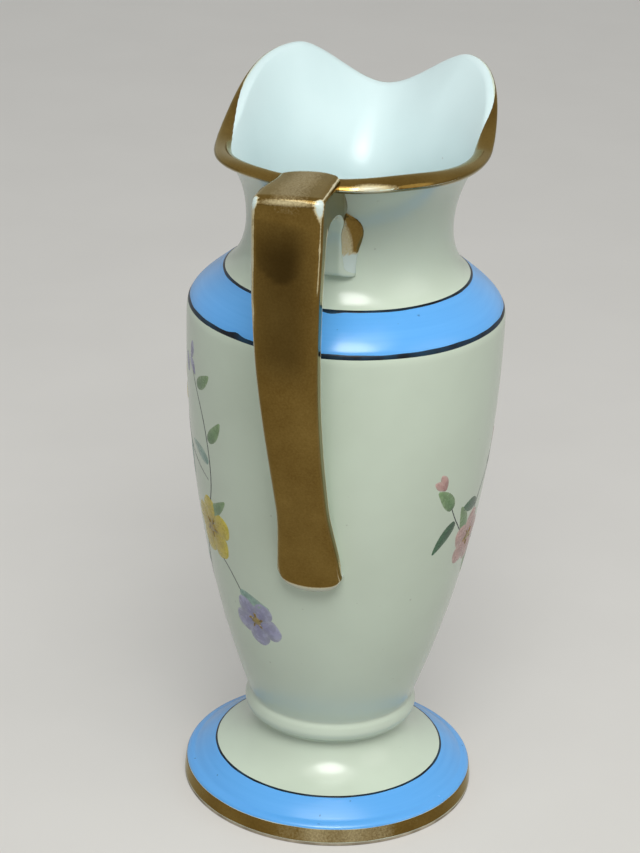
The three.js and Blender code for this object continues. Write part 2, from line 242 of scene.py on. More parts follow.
# Painted dark reflection on the upper strap: a deep patch with a rounded hem, and a fainter zone that goes
# on below
PATCH_HEM, HEM_RISE, HEM_BLUR = 120.2, 13, 2.6
HEM_WAVER, HEM_WAVES = 0.35, 11
PATCH_TOP = (126, 136)
PATCH_SIDE = (0.55, 0.98)
FAINT_PAINTED_REFLECTION, FAINT_BOTTOM, FAINT_TOP = 0.66, (100, 109), (122, 132)
FAINT_SIDE, FAINT_SIDE_LOSS = (0.6, 1.0), 0.45
# The flanks are darkened too, as a painted dark reflection
FLANK_PAINTED_REFLECTION = 0.52

MERGE_WITHIN = 1e-7
SHARP_EDGE = math.radians(50)
TURNS = 240
CREST_STEPS = 14
ANGLES = np.arange(TURNS) * math.tau / TURNS


# Curves and profiles

def bezier(controls, steps):
    """Points on a Bezier curve of any degree, ends included."""
    share = np.linspace(0, 1, steps + 1)[:, None]
    curve = [np.array(control, float) + 0 * share for control in controls]
    while len(curve) > 1:
        curve = [a + (b - a) * share for a, b in zip(curve, curve[1:])]
    return curve[0]


def through(points, steps):
    """A smooth curve through points, in steps between each two."""
    known = np.array(points, float)
    padded = np.vstack([2 * known[0] - known[1], known, 2 * known[-1] - known[-2]])
    spans = []
    for before, start, end, after in zip(padded, padded[1:], padded[2:], padded[3:]):
        spans.append(bezier([start, start + (end - before) / 6, end - (after - start) / 6, end], steps)[:-1])
    return np.vstack([*spans, known[-1:]])


def arc(centre, radius, start, end, steps):
    """Points on an arc between two angles in degrees."""
    angles = np.radians(np.linspace(start, end, steps + 1))
    return np.array(centre) + radius * np.column_stack([np.cos(angles), np.sin(angles)])


def line(start, end, steps):
    return np.linspace(np.array(start, float), np.array(end, float), steps + 1)


def joined(*runs):
    """Runs of points as one, without the points where they meet."""
    return np.vstack([runs[0], *[run[1:] for run in runs[1:]]])


def unit(vectors):
    return vectors / np.linalg.norm(vectors, axis=-1, keepdims=True)


def right_of(run):
    """Unit vectors to the right of the way a run goes, which is outward where it climbs."""
    along = unit(np.gradient(run, axis=0))
    return np.column_stack([along[:, 1], -along[:, 0]])


def lengths(run):
    """Length along a run at each of its points, or along each column of a grid."""
    steps = np.linalg.norm(np.diff(run, axis=0), axis=-1)
    return np.concatenate([np.zeros_like(steps[:1]), np.cumsum(steps, axis=0)])


def smooth(value, low, high):
    share = np.clip((value - low) / (high - low), 0, 1)
    return share * share * (3 - 2 * share)


def blend(low, high, share):
    return low + (high - low) * share


def wrapped(angle):
    """The same angle, at most half a turn either way."""
    return (angle + math.pi) % math.tau - math.pi


def wobble(angle, size, waves, seed):
    """An uneven hand: a few sines round the piece, which meet again after one turn."""
    rng = np.random.default_rng(seed)
    total = np.zeros_like(angle)
    for count in waves:
        total += np.sin(count * angle + rng.uniform(0, math.tau)) * rng.uniform(0.5, 1.0)
    return size * total / len(waves)


def hump(angle, centre, half_width, size):
    """One swelling round the piece, centred at an angle in degrees."""
    away = wrapped(angle - math.radians(centre))
    return size * np.exp(-(away / math.radians(half_width)) ** 2)


def belly_radius(height):
    left = np.clip(1 - (height - BELLY_BASE) / BELLY_HEIGHT, 0, 1)
    return SHOULDER_RADIUS - (SHOULDER_RADIUS - BELLY_BASE_RADIUS) * left ** BELLY_FULLNESS


def belly_run():
    heights = np.linspace(WAIST_POINTS[-1][1], SHOULDER_HEIGHT, 61)
    return np.column_stack([belly_radius(heights), heights])


def shoulder_controls():
    corner = np.array([SHOULDER_RADIUS, SHOULDER_HEIGHT + SHOULDER_ROUND])
    end = np.array([SHOULDER_TOP_RADIUS, SHOULDER_TOP])
    return [(SHOULDER_RADIUS, SHOULDER_HEIGHT), corner, corner + (end - corner) * SHOULDER_LEAD, end]


def shoulder_run():
    return bezier(shoulder_controls(), 28)


def neck_run():
    lead, end = shoulder_controls()[2:]
    rise = NECK_HEIGHT - SHOULDER_TOP
    onward = end + unit(end - lead) * rise / 4
    return bezier([end, onward, (NECK_RADIUS, NECK_HEIGHT - rise / 2), (NECK_RADIUS, NECK_HEIGHT)], 20)


def waist_run():
    return through(WAIST_POINTS, 6)


def crest_centre():
    return NECK_RADIUS - LIP_ROUND, TUBE_TOP - LIP_ROUND


def outer_tube():
    return line((NECK_RADIUS, NECK_HEIGHT), (NECK_RADIUS, crest_centre()[1]), 26)


def foot_band_run():
    """The foot's upper face, from its rounded outer corner in to the dark line."""
    edge = np.array([FOOT_RADIUS - GILT_DRAFT, GILT_TOP])
    inner = np.array(FOOT_LINE)
    inward = unit(inner - edge)
    over = edge + (-GILT_DRAFT * 0.3, FOOT_CORNER * 0.8)
    corner = bezier([edge, over, edge + inward * 2 * FOOT_CORNER], 10)
    crown = (corner[-1] + inner) / 2 + FOOT_CROWN
    return joined(corner, bezier([corner[-1], crown, inner], 14))


def stem_run():
    full = bezier([FOOT_LINE, STEM_BEND, STEM_TOP], 24)
    return np.vstack([full[full[:, 1] < STEM_SEAM[1] - STEM_SEAM_GAP], STEM_SEAM])


# Lip: the plain tube above the neck is drawn out to this plan and height

def lip_reach(angle):
    front = np.cos(angle) > 0
    length = np.where(front, SPOUT_REACH, BACK_REACH)
    power = np.where(front, SPOUT_SQUARENESS, BACK_SQUARENESS)
    along = np.abs(np.cos(angle)) / length
    across = np.abs(np.sin(angle)) / LIP_HALF_WIDTH
    return (along ** power + across ** power) ** (-1 / power)


def lip_rise(angle):
    turn = wrapped(angle - LIP_TURN)
    away = np.abs(turn)
    dip = np.where(turn > 0, LEFT_DIP_ANGLE, RIGHT_DIP_ANGLE)
    rise = blend(SPOUT_RISE, PEAK_RISE, smooth(away, 0, PEAK_ANGLE))
    rise += (SIDE_RISE - PEAK_RISE) * smooth(away, PEAK_ANGLE, dip)
    rise += (BACK_RISE - SIDE_RISE) * smooth(away, dip, BACK_ANGLE)
    return rise + hump(angle, SWELL_ANGLE, SWELL_SPREAD, BACK_SWELL)


def lip_flare(over):
    """How much of the lip's overhang is reached at a height of the plain tube over the neck."""
    return np.minimum(1, over / (BACK_RISE - LIP_ROUND)) ** 2


def lip_flow(points):
    """Draws the tube above the neck out into the wavy lip."""
    moved = points.copy()
    over = np.maximum(points[..., 2] - NECK_HEIGHT, 0)
    flared = lip_flare(over)
    angle = np.arctan2(points[..., 1], points[..., 0])
    radius = np.hypot(points[..., 0], points[..., 1])
    grown = radius + (lip_reach(angle) - NECK_RADIUS) * flared
    climb = over / BACK_RISE
    moved[..., 0] = grown * np.cos(angle)
    moved[..., 1] = grown * np.sin(angle) - LIP_SIDE_SHIFT * flared
    lifted = NECK_HEIGHT + np.minimum(climb, 1) * lip_rise(angle) + np.maximum(climb - 1, 0) * BACK_RISE
    moved[..., 2] = np.where(over > 0, lifted, points[..., 2])
    return moved


def wall_radius(angle, height):
    """Outer radius of the neck and lip at an angle and a height."""
    neck = neck_run()
    low = np.interp(height, neck[:, 1], neck[:, 0])
    over = np.maximum(height - NECK_HEIGHT, 0) * BACK_RISE / lip_rise(angle)
    return low + (lip_reach(angle) - NECK_RADIUS) * lip_flare(over)


def outward_of(wall):
    """Unit vectors out of a grid that climbs row by row and goes round column by column."""
    around = np.roll(wall, -1, axis=1) - np.roll(wall, 1, axis=1)
    return unit(np.cross(around, np.gradient(wall, axis=0)))


def lip_outside():
    """Grid of the lip's outer wall, from the neck up to the crest, with a rolled bead under the crest
    that is fullest beside the handle."""
    wall = lip_flow(turned(outer_tube()))
    below = np.linalg.norm(wall - wall[-1], axis=2)
    fullness = blend(BEAD_AT_SPOUT, 1, smooth(-np.cos(ANGLES), BEAD_START, BEAD_FULL))
    fullness = fullness + hump(ANGLES, SWELL_ANGLE, BEAD_SPREAD, BEAD_SWELL)
    bead = LIP_BEAD * fullness * (1 - smooth(below, BEAD_TOP, BEAD_BOTTOM))
    return wall + outward_of(wall) * bead[..., None]


def lip_inside():
    """Grid of the lip's inner wall, from the crest down into the neck."""
    start = (NECK_RADIUS - LIP_WALL, crest_centre()[1])
    return lip_flow(turned(line(start, (start[0], NECK_HEIGHT + THROAT_JOIN), 22)))


def crest_rows(outside, inside):
    """Grid that rounds the crest over from the outer wall to the inner one, leaning as they do."""
    reach = CREST_FULLNESS * LIP_ROUND
    lead = outside[-1] + unit(outside[-1] - outside[-2]) * reach
    trail = inside[0] + unit(inside[0] - inside[1]) * reach
    share = np.linspace(0, 1, CREST_STEPS + 1)[:, None, None]
    rest = 1 - share
    return (rest ** 3 * outside[-1] + 3 * rest ** 2 * share * lead
            + 3 * rest * share ** 2 * trail + share ** 3 * inside[0])


# Meshes

def about_axis(radius, angle, height):
    """Grid of points at a radius and an angle about the axis, and a height."""
    return np.dstack([radius * np.cos(angle), radius * np.sin(angle), height])


def turned(run):
    """Grid of points from a profile turned about the axis."""
    radius, height = run[:, 0, None], run[:, 1, None]
    return about_axis(radius, ANGLES, height + 0 * ANGLES)


def add_object(name, data):
    thing = bpy.data.objects.new(name, data)
    bpy.context.scene.collection.objects.link(thing)
    return thing


def add_finish(mesh, finishes, which):
    """Gives a mesh its finishes and, where there are several, each face the number of its own."""
    for finish in finishes:
        mesh.materials.append(finish)
    if which is not None:
        mesh.polygons.foreach_set("material_index", which.astype(np.int32).ravel())


def add_layers(mesh, sheets):
    """Copies each sheet's named values onto the mesh's points."""
    for name in sheets[0][1]:
        values = np.concatenate([layers[name].reshape(grid.shape[0] * grid.shape[1], -1)
                                 for grid, layers in sheets])
        colour = values.shape[1] == 4
        layer = mesh.attributes.new(name, "FLOAT_COLOR" if colour else "FLOAT", "POINT")
        layer.data.foreach_set("color" if colour else "value", values.astype(np.float32).ravel())


def close_and_smooth(mesh):
    """Merges the points that meet, turns the faces outward, and keeps real edges sharp."""
    shape = bmesh.new()
    shape.from_mesh(mesh)
    bmesh.ops.remove_doubles(shape, verts=shape.verts, dist=MERGE_WITHIN)
    bmesh.ops.recalc_face_normals(shape, faces=shape.faces)
    shape.to_mesh(mesh)
    shape.free()
    mesh.polygons.foreach_set("use_smooth", np.ones(len(mesh.polygons), bool))
    mesh.set_sharp_from_angle(angle=SHARP_EDGE)


def make_piece(name, sheets, finishes, nodes=(), ring=False, which=None):
    """One object from grids of points. Columns close on themselves, and so do rows where ring is set."""
    places, faces, start = [], [], 0
    for grid, _ in sheets:
        rows, columns = grid.shape[:2]
        index = start + np.arange(rows * columns).reshape(rows, columns)
        lower = index if ring else index[:-1]
        upper = np.roll(index, -1, axis=0) if ring else index[1:]
        quads = [lower, np.roll(lower, -1, axis=1), np.roll(upper, -1, axis=1), upper]
        faces.append(np.dstack(quads).reshape(-1, 4))
        places.append((grid.reshape(-1, 3) + (AXIS_X, 0, 0)) * MM)
        start += rows * columns
    mesh = bpy.data.meshes.new(name)
    mesh.from_pydata(np.vstack(places).tolist(), [], np.vstack(faces).tolist())
    add_finish(mesh, finishes, which)
    add_layers(mesh, sheets)
    close_and_smooth(mesh)
    piece = add_object(name, mesh)
    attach(piece, "root")
    if nodes:
        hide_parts(*nodes)


# Materials

def linear(code):
    """Linear colour of an sRGB hex value."""
    channels = [int(code[i:i + 2], 16) / 255 for i in (0, 2, 4)]
    return [c / 12.92 if c <= 0.04045 else ((c + 0.055) / 1.055) ** 2.4 for c in channels] + [1.0]


def per_metre(size):
    """Texture scale for features of a size in millimetres."""
    return 1 / (size * MM)


def add(tree, kind, settings=None, links=None, stops=()):
    """Adds one node, with its settings, the sockets that feed it and a ramp's two stops."""
    node = tree.nodes.new("ShaderNode" + kind)
    for name, value in (settings or {}).items():
        if isinstance(name, int) or name in node.inputs:
            node.inputs[name].default_value = value
        else:
            setattr(node, name, value)
    for name, source in (links or {}).items():
        tree.links.new(source, node.inputs[name])
    for i, (place, code) in enumerate(stops):
        stop = node.color_ramp.elements[i]
        stop.position = place
        stop.color = linear(code)
    return node


def new_finish(name):
    """An empty material, its node tree and the place of each point in the object."""
    finish = bpy.data.materials.new(name)
    finish.use_nodes = True
    tree = finish.node_tree
    tree.nodes.clear()
    return finish, tree, add(tree, "TexCoord").outputs["Object"]


def close_finish(tree, settings, links):
    shader = add(tree, "BsdfPrincipled", settings, links)
    add(tree, "OutputMaterial", {}, {"Surface": shader.outputs["BSDF"]})


def glazed_porcelain(name, low, high, speck, shine):
    """Porcelain under clear fired glaze: an even, slightly cloudy body colour, a soft wet shine that
    wavers where the glaze ran, and hardly a kiln speck."""
    finish, tree, place = new_finish(name)
    cloud = add(tree, "TexNoise", {"Scale": per_metre(24), "Detail": 3.0}, {"Vector": place})
    tone = add(tree, "ValToRGB", {}, {"Fac": cloud.outputs["Fac"]}, [(0.3, low), (0.7, high)])
    # Real specks are 0.1 mm, drawn here as 0.3 mm so that they show
    grit = add(tree, "TexNoise", {"Scale": per_metre(1.1), "Detail": 0.0}, {"Vector": place})
    dots = add(tree, "ValToRGB", {}, {"Fac": grit.outputs["Fac"]}, [(0.88, "000000"), (0.94, "ffffff")])
    colour = add(tree, "Mix", {"data_type": "RGBA", 7: linear(speck)},
                 {0: dots.outputs["Color"], 6: tone.outputs["Color"]})
    run = add(tree, "TexNoise", {"Scale": per_metre(8), "Detail": 2.0}, {"Vector": place})
    gloss = add(tree, "MapRange", {"To Min": shine, "To Max": shine + 0.1}, {"Value": run.outputs["Fac"]})
    waver = add(tree, "Bump", {"Strength": 1.0, "Distance": 0.02 * MM}, {"Height": run.outputs["Fac"]})
    close_finish(tree, {"IOR": 1.5},
                 {"Base Color": colour.outputs[2], "Roughness": gloss.outputs["Result"],
                  "Normal": waver.outputs["Normal"]})
    return finish


def biscuit_clay():
    """Unglazed fired clay on the foot's standing ring: dry and matt, with a fine grain and grey dirt."""
    finish, tree, place = new_finish("biscuit_clay")
    dirt = add(tree, "TexNoise", {"Scale": per_metre(3), "Detail": 4.0}, {"Vector": place})
    tone = add(tree, "ValToRGB", {}, {"Fac": dirt.outputs["Fac"]}, [(0.35, "8f8470"), (0.65, "b9ad98")])
    grain = add(tree, "TexNoise", {"Scale": per_metre(0.4), "Detail": 2.0}, {"Vector": place})
    rough = add(tree, "Bump", {"Strength": 1.0, "Distance": 0.02 * MM}, {"Height": grain.outputs["Fac"]})
    close_finish(tree, {"Roughness": 0.85, "IOR": 1.5},
                 {"Base Color": tone.outputs["Color"], "Normal": rough.outputs["Normal"]})
    return finish


def blue_overglaze_enamel():
    """Pale blue enamel, brushed on over the glaze and fired: faint streaks round the band, small dark
    pits and a soft shine."""
    finish, tree, place = new_finish("blue_overglaze_enamel")
    # Brush streaks are 0.5 mm across and run 25 mm round the band
    turn = add(tree, "Mapping", {"Scale": (per_metre(25), per_metre(25), per_metre(0.5))}, {"Vector": place})
    streak = add(tree, "TexNoise", {"Scale": 1.0, "Detail": 3.0}, {"Vector": turn.outputs["Vector"]})
    tone = add(tree, "ValToRGB", {}, {"Fac": streak.outputs["Fac"]}, [(0.3, "5aa8ee"), (0.7, "60aef2")])
    grit = add(tree, "TexNoise", {"Scale": per_metre(1.6), "Detail": 1.0}, {"Vector": place})
    pits = add(tree, "ValToRGB", {}, {"Fac": grit.outputs["Fac"]}, [(0.79, "000000"), (0.84, "ffffff")])
    colour = add(tree, "Mix", {"data_type": "RGBA", 7: linear("4482bd")},
                 {0: pits.outputs["Color"], 6: tone.outputs["Color"]})
    uneven = add(tree, "TexNoise", {"Scale": per_metre(3), "Detail": 3.0}, {"Vector": place})
    gloss = add(tree, "MapRange", {"To Min": 0.16, "To Max": 0.3}, {"Value": uneven.outputs["Fac"]})
    lumps = add(tree, "Bump", {"Strength": 1.0, "Distance": 0.012 * MM}, {"Height": uneven.outputs["Fac"]})
    close_finish(tree, {"IOR": 1.52},
                 {"Base Color": colour.outputs[2], "Roughness": gloss.outputs["Result"],
                  "Normal": lumps.outputs["Normal"]})
    return finish


def ink_line_enamel():
    """Ink-blue enamel drawn with a fine brush: nearly black where it lies thick, teal where it thins."""
    finish, tree, place = new_finish("ink_line_enamel")
    load = add(tree, "TexNoise", {"Scale": per_metre(4), "Detail": 4.0}, {"Vector": place})
    tone = add(tree, "ValToRGB", {}, {"Fac": load.outputs["Fac"]}, [(0.4, "060f18"), (0.7, "14344a")])
    gloss = add(tree, "MapRange", {"To Min": 0.3, "To Max": 0.45}, {"Value": load.outputs["Fac"]})
    close_finish(tree, {"IOR": 1.52, "Specular IOR Level": 0.2},
                 {"Base Color": tone.outputs["Color"], "Roughness": gloss.outputs["Result"]})
    return finish


def burnished_gilding():
    """Liquid gold brushed on, fired and burnished: an olive-brown metal with a fine pebbled skin that
    wears thin to cream, then through to the white glaze, where the worn layer says. The same layer also
    paints highlights as cream, and below zero darkens the gold as a painted dark reflection."""
    finish, tree, place = new_finish("burnished_gilding")
    pebble = add(tree, "TexNoise", {"Scale": per_metre(0.4), "Detail": 2.0}, {"Vector": place})
    patch = add(tree, "TexNoise", {"Scale": per_metre(9), "Detail": 3.0}, {"Vector": place})
    both = add(tree, "Mix", {0: 0.4}, {2: patch.outputs["Fac"], 3: pebble.outputs["Fac"]})
    tone = add(tree, "ValToRGB", {}, {"Fac": both.outputs[0]}, [(0.3, "674f22"), (0.7, "836b38")])
    wear_and_painted_light = add(tree, "Attribute", {"attribute_name": "wear_and_painted_light"})
    # Below zero the layer darkens the gold: a painted dark reflection
    dark = add(tree, "MapRange", {"From Min": -1.0, "From Max": 0.0, "To Min": 0.85, "To Max": 0.0},
               {"Value": wear_and_painted_light.outputs["Fac"]})
    painted_dark_reflection_tone = add(tree, "Mix", {"data_type": "RGBA", 7: linear("33260f")},
                  {0: dark.outputs["Result"], 6: tone.outputs["Color"]})
    ragged = add(tree, "MapRange", {"To Min": -0.07, "To Max": 0.07}, {"Value": pebble.outputs["Fac"]})
    wear = add(tree, "Math", {"operation": "ADD"}, {0: wear_and_painted_light.outputs["Fac"], 1: ragged.outputs["Result"]})
    thin = add(tree, "ValToRGB", {}, {"Fac": wear.outputs["Value"]}, [(0.4, "000000"), (0.6, "ffffff")])
    under = add(tree, "ValToRGB", {}, {"Fac": wear.outputs["Value"]}, [(0.6, "c3b58c"), (0.9, "ccdad4")])
    colour = add(tree, "Mix", {"data_type": "RGBA"},
                 {0: thin.outputs["Color"], 6: painted_dark_reflection_tone.outputs[2], 7: under.outputs["Color"]})
    metal = add(tree, "Math", {"operation": "SUBTRACT", 0: 1.0}, {1: thin.outputs["Color"]})
    gloss = add(tree, "MapRange", {"To Min": 0.1, "To Max": 0.18}, {"Value": patch.outputs["Fac"]})
    skin = add(tree, "Bump", {"Strength": 1.0, "Distance": 0.008 * MM}, {"Height": pebble.outputs["Fac"]})
    close_finish(tree, {"Specular Tint": linear("f0eeda")},
                 {"Base Color": colour.outputs[2], "Metallic": metal.outputs["Value"],
                  "Roughness": gloss.outputs["Result"], "Normal": skin.outputs["Normal"]})
    return finish


def sprig_enamel():
    """Soft overglaze colours of the painted sprays: thin washes that follow the brush, half matt."""
    finish, tree, place = new_finish("sprig_enamel")
    tint = add(tree, "Attribute", {"attribute_name": "tint"})
    wash = add(tree, "TexNoise", {"Scale": per_metre(1.5), "Detail": 3.0}, {"Vector": place})
    depth = add(tree, "ValToRGB", {}, {"Fac": wash.outputs["Fac"]}, [(0.3, "d8d8d8"), (0.7, "ffffff")])
    colour = add(tree, "Mix", {"data_type": "RGBA", "blend_type": "MULTIPLY", 0: 1.0},
                 {6: tint.outputs["Color"], 7: depth.outputs["Color"]})
    gloss = add(tree, "MapRange", {"To Min": 0.2, "To Max": 0.34}, {"Value": wash.outputs["Fac"]})
    close_finish(tree, {"IOR": 1.52},
                 {"Base Color": colour.outputs[2], "Roughness": gloss.outputs["Result"]})
    return finish


IVORY = glazed_porcelain("ivory_glazed_porcelain", "c6d2c0", "cfdcca", "b4bdab", 0.14)
WHITE = glazed_porcelain("white_glazed_porcelain", "c9dedf", "d2e5e6", "b8c4c2", 0.26)
CLAY = biscuit_clay()
BLUE = blue_overglaze_enamel()
INK = ink_line_enamel()
GOLD = burnished_gilding()
SPRIG = sprig_enamel()


# Turned pieces

def make_body():
    """Belly, shoulder, neck and lip in one shell, ivory outside and white inside."""
    seam = waist_run()
    seam = seam[seam[:, 1] > BELLY_BASE - WAIST_OVERLAP]
    wall = joined(seam, belly_run(), shoulder_run(), neck_run())
    floor = BELLY_BASE + FLOOR_THICKNESS
    throat = (wall - BODY_WALL * right_of(wall))[::-3]
    throat = throat[(throat[:, 1] > floor + BODY_WALL) & (throat[:, 1] < NECK_HEIGHT)]
    low = throat[-1]
    heel = bezier([low, (low[0] - HEEL_LEAD, floor), (low[0] - HEEL_WIDTH, floor)], 6)
    inner = np.vstack([throat, heel[1:], [(0, floor)]])
    stub = np.array([(0, SPIGOT_BOTTOM), (SPIGOT_RADIUS, SPIGOT_BOTTOM), (SPIGOT_RADIUS, seam[0][1])])
    outside, mouth = lip_outside(), lip_inside()
    crest = crest_rows(outside, mouth)
    below = turned(np.vstack([stub, wall[:-1]]))
    grid = np.concatenate([below, outside, crest[1:], mouth[1:], turned(inner)])
    which = np.zeros((len(grid) - 1, TURNS), int)
    which[len(below) + len(outside) - 1 + CREST_STEPS // 2:] = 1
    make_piece("porcelain_body", [(grid, {})], [IVORY, WHITE], ["vessel_body"], which=which)


def make_ring():
    """The bead at the waist, with its crease below and its hollow above."""
    run = waist_run()
    run = run[run[:, 1] <= BELLY_BASE + WAIST_OVERLAP]
    bore = np.array([(RING_BORE, run[-1][1]), (RING_BORE, run[0][1])])
    make_piece("turned_waist_ring", [(turned(np.vstack([run, bore])), {})], [IVORY],
               ["waist_ring", "foot_lute"], ring=True)


def make_foot():
    """The flared foot: glazed above, with a dry clay standing ring and hollow below."""
    edge = line((FOOT_RADIUS, CLAY_HEIGHT), (FOOT_RADIUS - GILT_DRAFT, GILT_TOP), 5)
    outer = joined(edge, foot_band_run(), stem_run())
    round_edge = arc((FOOT_RADIUS - FOOT_EDGE_ROUND, FOOT_EDGE_ROUND), FOOT_EDGE_ROUND, -90, 0, 5)
    ring_inner = FOOT_RADIUS - FOOT_RING_WIDTH
    roof = STEM_TOP[1] - FOOT_WALL
    hollow = bezier([(0.0, roof), (STEM_TOP[0], roof),
                     (STEM_TOP[0] + HOLLOW_SPREAD, FOOT_LINE[1] - FOOT_WALL),
                     (ring_inner, HOLLOW_EDGE)], 24)
    inner_edge = bezier([hollow[-1], (ring_inner + FOOT_EDGE_ROUND, 0.0),
                         (ring_inner + RING_ROUND, 0.0)], 4)
    clay = np.vstack([inner_edge, round_edge])
    top = np.array([(0, STEM_SEAM[1])])
    profile = np.vstack([hollow, clay[1:], outer, top])
    which = np.zeros((len(profile) - 1, TURNS), int)
    which[:len(hollow) - 1] = 1
    which[len(hollow) - 1:len(hollow) + len(clay) - 1] = 2
    make_piece("pedestal", [(turned(profile), {})], [IVORY, WHITE, CLAY],
               ["pedestal_foot"], which=which)


# Fired coats on turned surfaces

def coat_lift(share, steps):
    """How proud a coat stands at a share of the way across it. It thins out at both edges."""
    inside = np.clip(np.minimum(share, 1 - share) * steps / 2, 0, 1)
    return COAT_PROUD * inside ** 0.5 - COAT_EDGE_SUNK


def coat_grid(run, start, end, steps):
    """Thin closed band on a profile, between two lengths along it that may vary round the piece."""
    along = lengths(run)
    share = np.linspace(0, 1, steps)[:, None]
    across = start + (end - start) * share
    across = np.vstack([across, across[::-1]])
    values = np.hstack([run, right_of(run)]).T
    radius, height, out, up = [np.interp(across, along, value) for value in values]
    proud = coat_lift(share, steps)
    lift = np.vstack([proud, np.full_like(proud, -COAT_SUNK)])
    return about_axis(radius + out * lift, ANGLES, height + up * lift)


def coat_on_wall(wall, along, start, end, steps):
    """Thin closed band on a grid, between two lengths along its columns that vary round the piece."""
    normal = outward_of(wall)
    share = np.linspace(0, 1, steps)
    place, out = np.zeros((steps, TURNS, 3)), np.zeros((steps, TURNS, 3))
    for column in range(TURNS):
        spots = blend(start[column], end[column], share)
        for axis in range(3):
            place[:, column, axis] = np.interp(spots, along[:, column], wall[:, column, axis])
            out[:, column, axis] = np.interp(spots, along[:, column], normal[:, column, axis])
    proud = coat_lift(share, steps)[:, None, None]
    return np.concatenate([place + out * proud, (place - out * COAT_SUNK)[::-1]])


def make_coat(name, grid, finish, node, wear_and_painted_light=None):
    # This layer holds the gold's wear together with its painted highlights, sheen and dark reflections
    layers = {} if wear_and_painted_light is None else {"wear_and_painted_light": wear_and_painted_light}
    make_piece(name, [(grid, layers)], [finish], [node], ring=True)


def make_shoulder_band():
    """The blue band on the shoulder and its dark lines, drawn by hand on the wheel."""
    run = shoulder_run()
    total = lengths(run)[-1]
    low = LOWER_LINE_START + wobble(ANGLES, 0.12, (2, 3, 7, 11), 1)
    low_end = LOWER_LINE_START + LOWER_LINE_WIDTH + wobble(ANGLES, 0.18, (3, 5, 9, 17, 29), 2)
    low_end = low_end + hump(ANGLES, *BRUSH_DWELL)
    high = total - UPPER_LINE_WIDTH + wobble(ANGLES, 0.14, (2, 5, 8, 19), 3)
    high = high - hump(ANGLES, *BRUSH_OVERLAP)
    high_end = np.minimum(total + wobble(ANGLES, 0.1, (2, 3, 7, 13), 4), total - EDGE_INSET)
    band = coat_grid(run, low_end - BAND_OVERLAP, high + BAND_OVERLAP, 24)
    make_coat("shoulder_blue_band", band, BLUE, "shoulder_enamel")
    make_coat("shoulder_lower_ink_line", coat_grid(run, low, low_end, 8), INK,
              "shoulder_lower_line")
    make_coat("shoulder_upper_ink_line", coat_grid(run, high, high_end, 8), INK,
              "shoulder_upper_line")


def make_foot_band():
    """The blue band on the foot and its dark line."""
    run = foot_band_run()
    total = lengths(run)[-1]
    inner = total - FOOT_LINE_WIDTH + wobble(ANGLES, 0.1, (2, 3, 5, 11, 23), 5)
    inner_end = np.minimum(total + wobble(ANGLES, 0.06, (3, 4, 9), 6), total - EDGE_INSET)
    outer = FOOT_BAND_START + wobble(ANGLES, 0.06, (2, 5, 6, 13, 31), 7)
    band = coat_grid(run, outer, inner + FOOT_BAND_OVERLAP, 26)
    make_coat("foot_blue_band", band, BLUE, "foot_enamel")
    make_coat("foot_ink_line", coat_grid(run, inner, inner_end, 7), INK, "foot_line")


def make_foot_gold():
    """Gold on the foot's upright edge, paled below the handle as a painted highlight."""
    edge = joined(line((FOOT_RADIUS, CLAY_HEIGHT), (FOOT_RADIUS - GILT_DRAFT, GILT_TOP), 8),
                  foot_band_run()[:8])
    start = FOOT_GILT_START + wobble(ANGLES, 0.08, (3, 7, 12, 23), 8)
    end = GILT_TOP - CLAY_HEIGHT + FOOT_GILT_LAP + wobble(ANGLES, 0.1, (2, 5, 9, 21), 9)
    grid = coat_grid(edge, np.maximum(start, EDGE_INSET), end, 16)
    # The hump below the handle pales the gold as a painted highlight
    wear_and_painted_light = FOOT_WEAR + wobble(ANGLES, 0.08, (4, 9, 15, 26), 10) + hump(ANGLES, *FOOT_PAINTED_HIGHLIGHT)
    wear_and_painted_light = wear_and_painted_light + np.zeros(grid.shape[:2])
    make_coat("foot_edge_gold", grid, GOLD, "foot_edge_gilding", wear_and_painted_light)


def make_rim_gold():
    """Gold on the lip, over its crest beside the handle and only outside it round the spout."""
    outside = lip_outside()[-RIM_ROWS:]
    mouth = lip_inside()
    crest = crest_rows(outside, mouth)
    wall = np.concatenate([outside, crest[1:], mouth[1:MOUTH_ROWS]])
    along = lengths(wall)
    base = along[len(outside) - 1]
    top = along[len(outside) + CREST_STEPS - 1] - base
    full = np.where(ANGLES < math.pi, CREST_GILT_LEFT, CREST_GILT_RIGHT)
    near = smooth(-np.cos(ANGLES), CREST_GILT_START, full)
    foot = base - RIM_GILT_DEPTH + wobble(ANGLES, 0.25, (3, 5, 8, 14, 27), 11)
    foot = foot - hump(ANGLES, SWELL_ANGLE, SWELL_SPREAD, BACK_SWELL)
    head = base + blend(RIM_GILT_SPOUT * top, top + RIM_GILT_INSIDE, near)
    head = head + wobble(ANGLES, 0.12, (4, 7, 13, 22), 12)
    grid = coat_on_wall(wall, along, foot, head, 22)
    # Painted highlight: the gold on the crest's upper rows beside the handle is paled to cream
    crown = np.exp(-((np.linspace(0, 1, len(grid) // 2) - 0.5) / RIM_HIGHLIGHT_SPREAD) ** 2)
    crown = np.concatenate([crown, crown[::-1]])[:, None]
    wear_and_painted_light = RIM_WEAR + RIM_PATCHES * wobble(ANGLES, 1.0, (5, 8, 17, 31), 13)
    wear_and_painted_light = wear_and_painted_light + crown * hump(ANGLES, *RIM_PAINTED_HIGHLIGHT)
    make_coat("rim_gold", grid, GOLD, "rim_gilding", wear_and_painted_light)


# Handle: sections between matched points of its outer and inner edge in side view

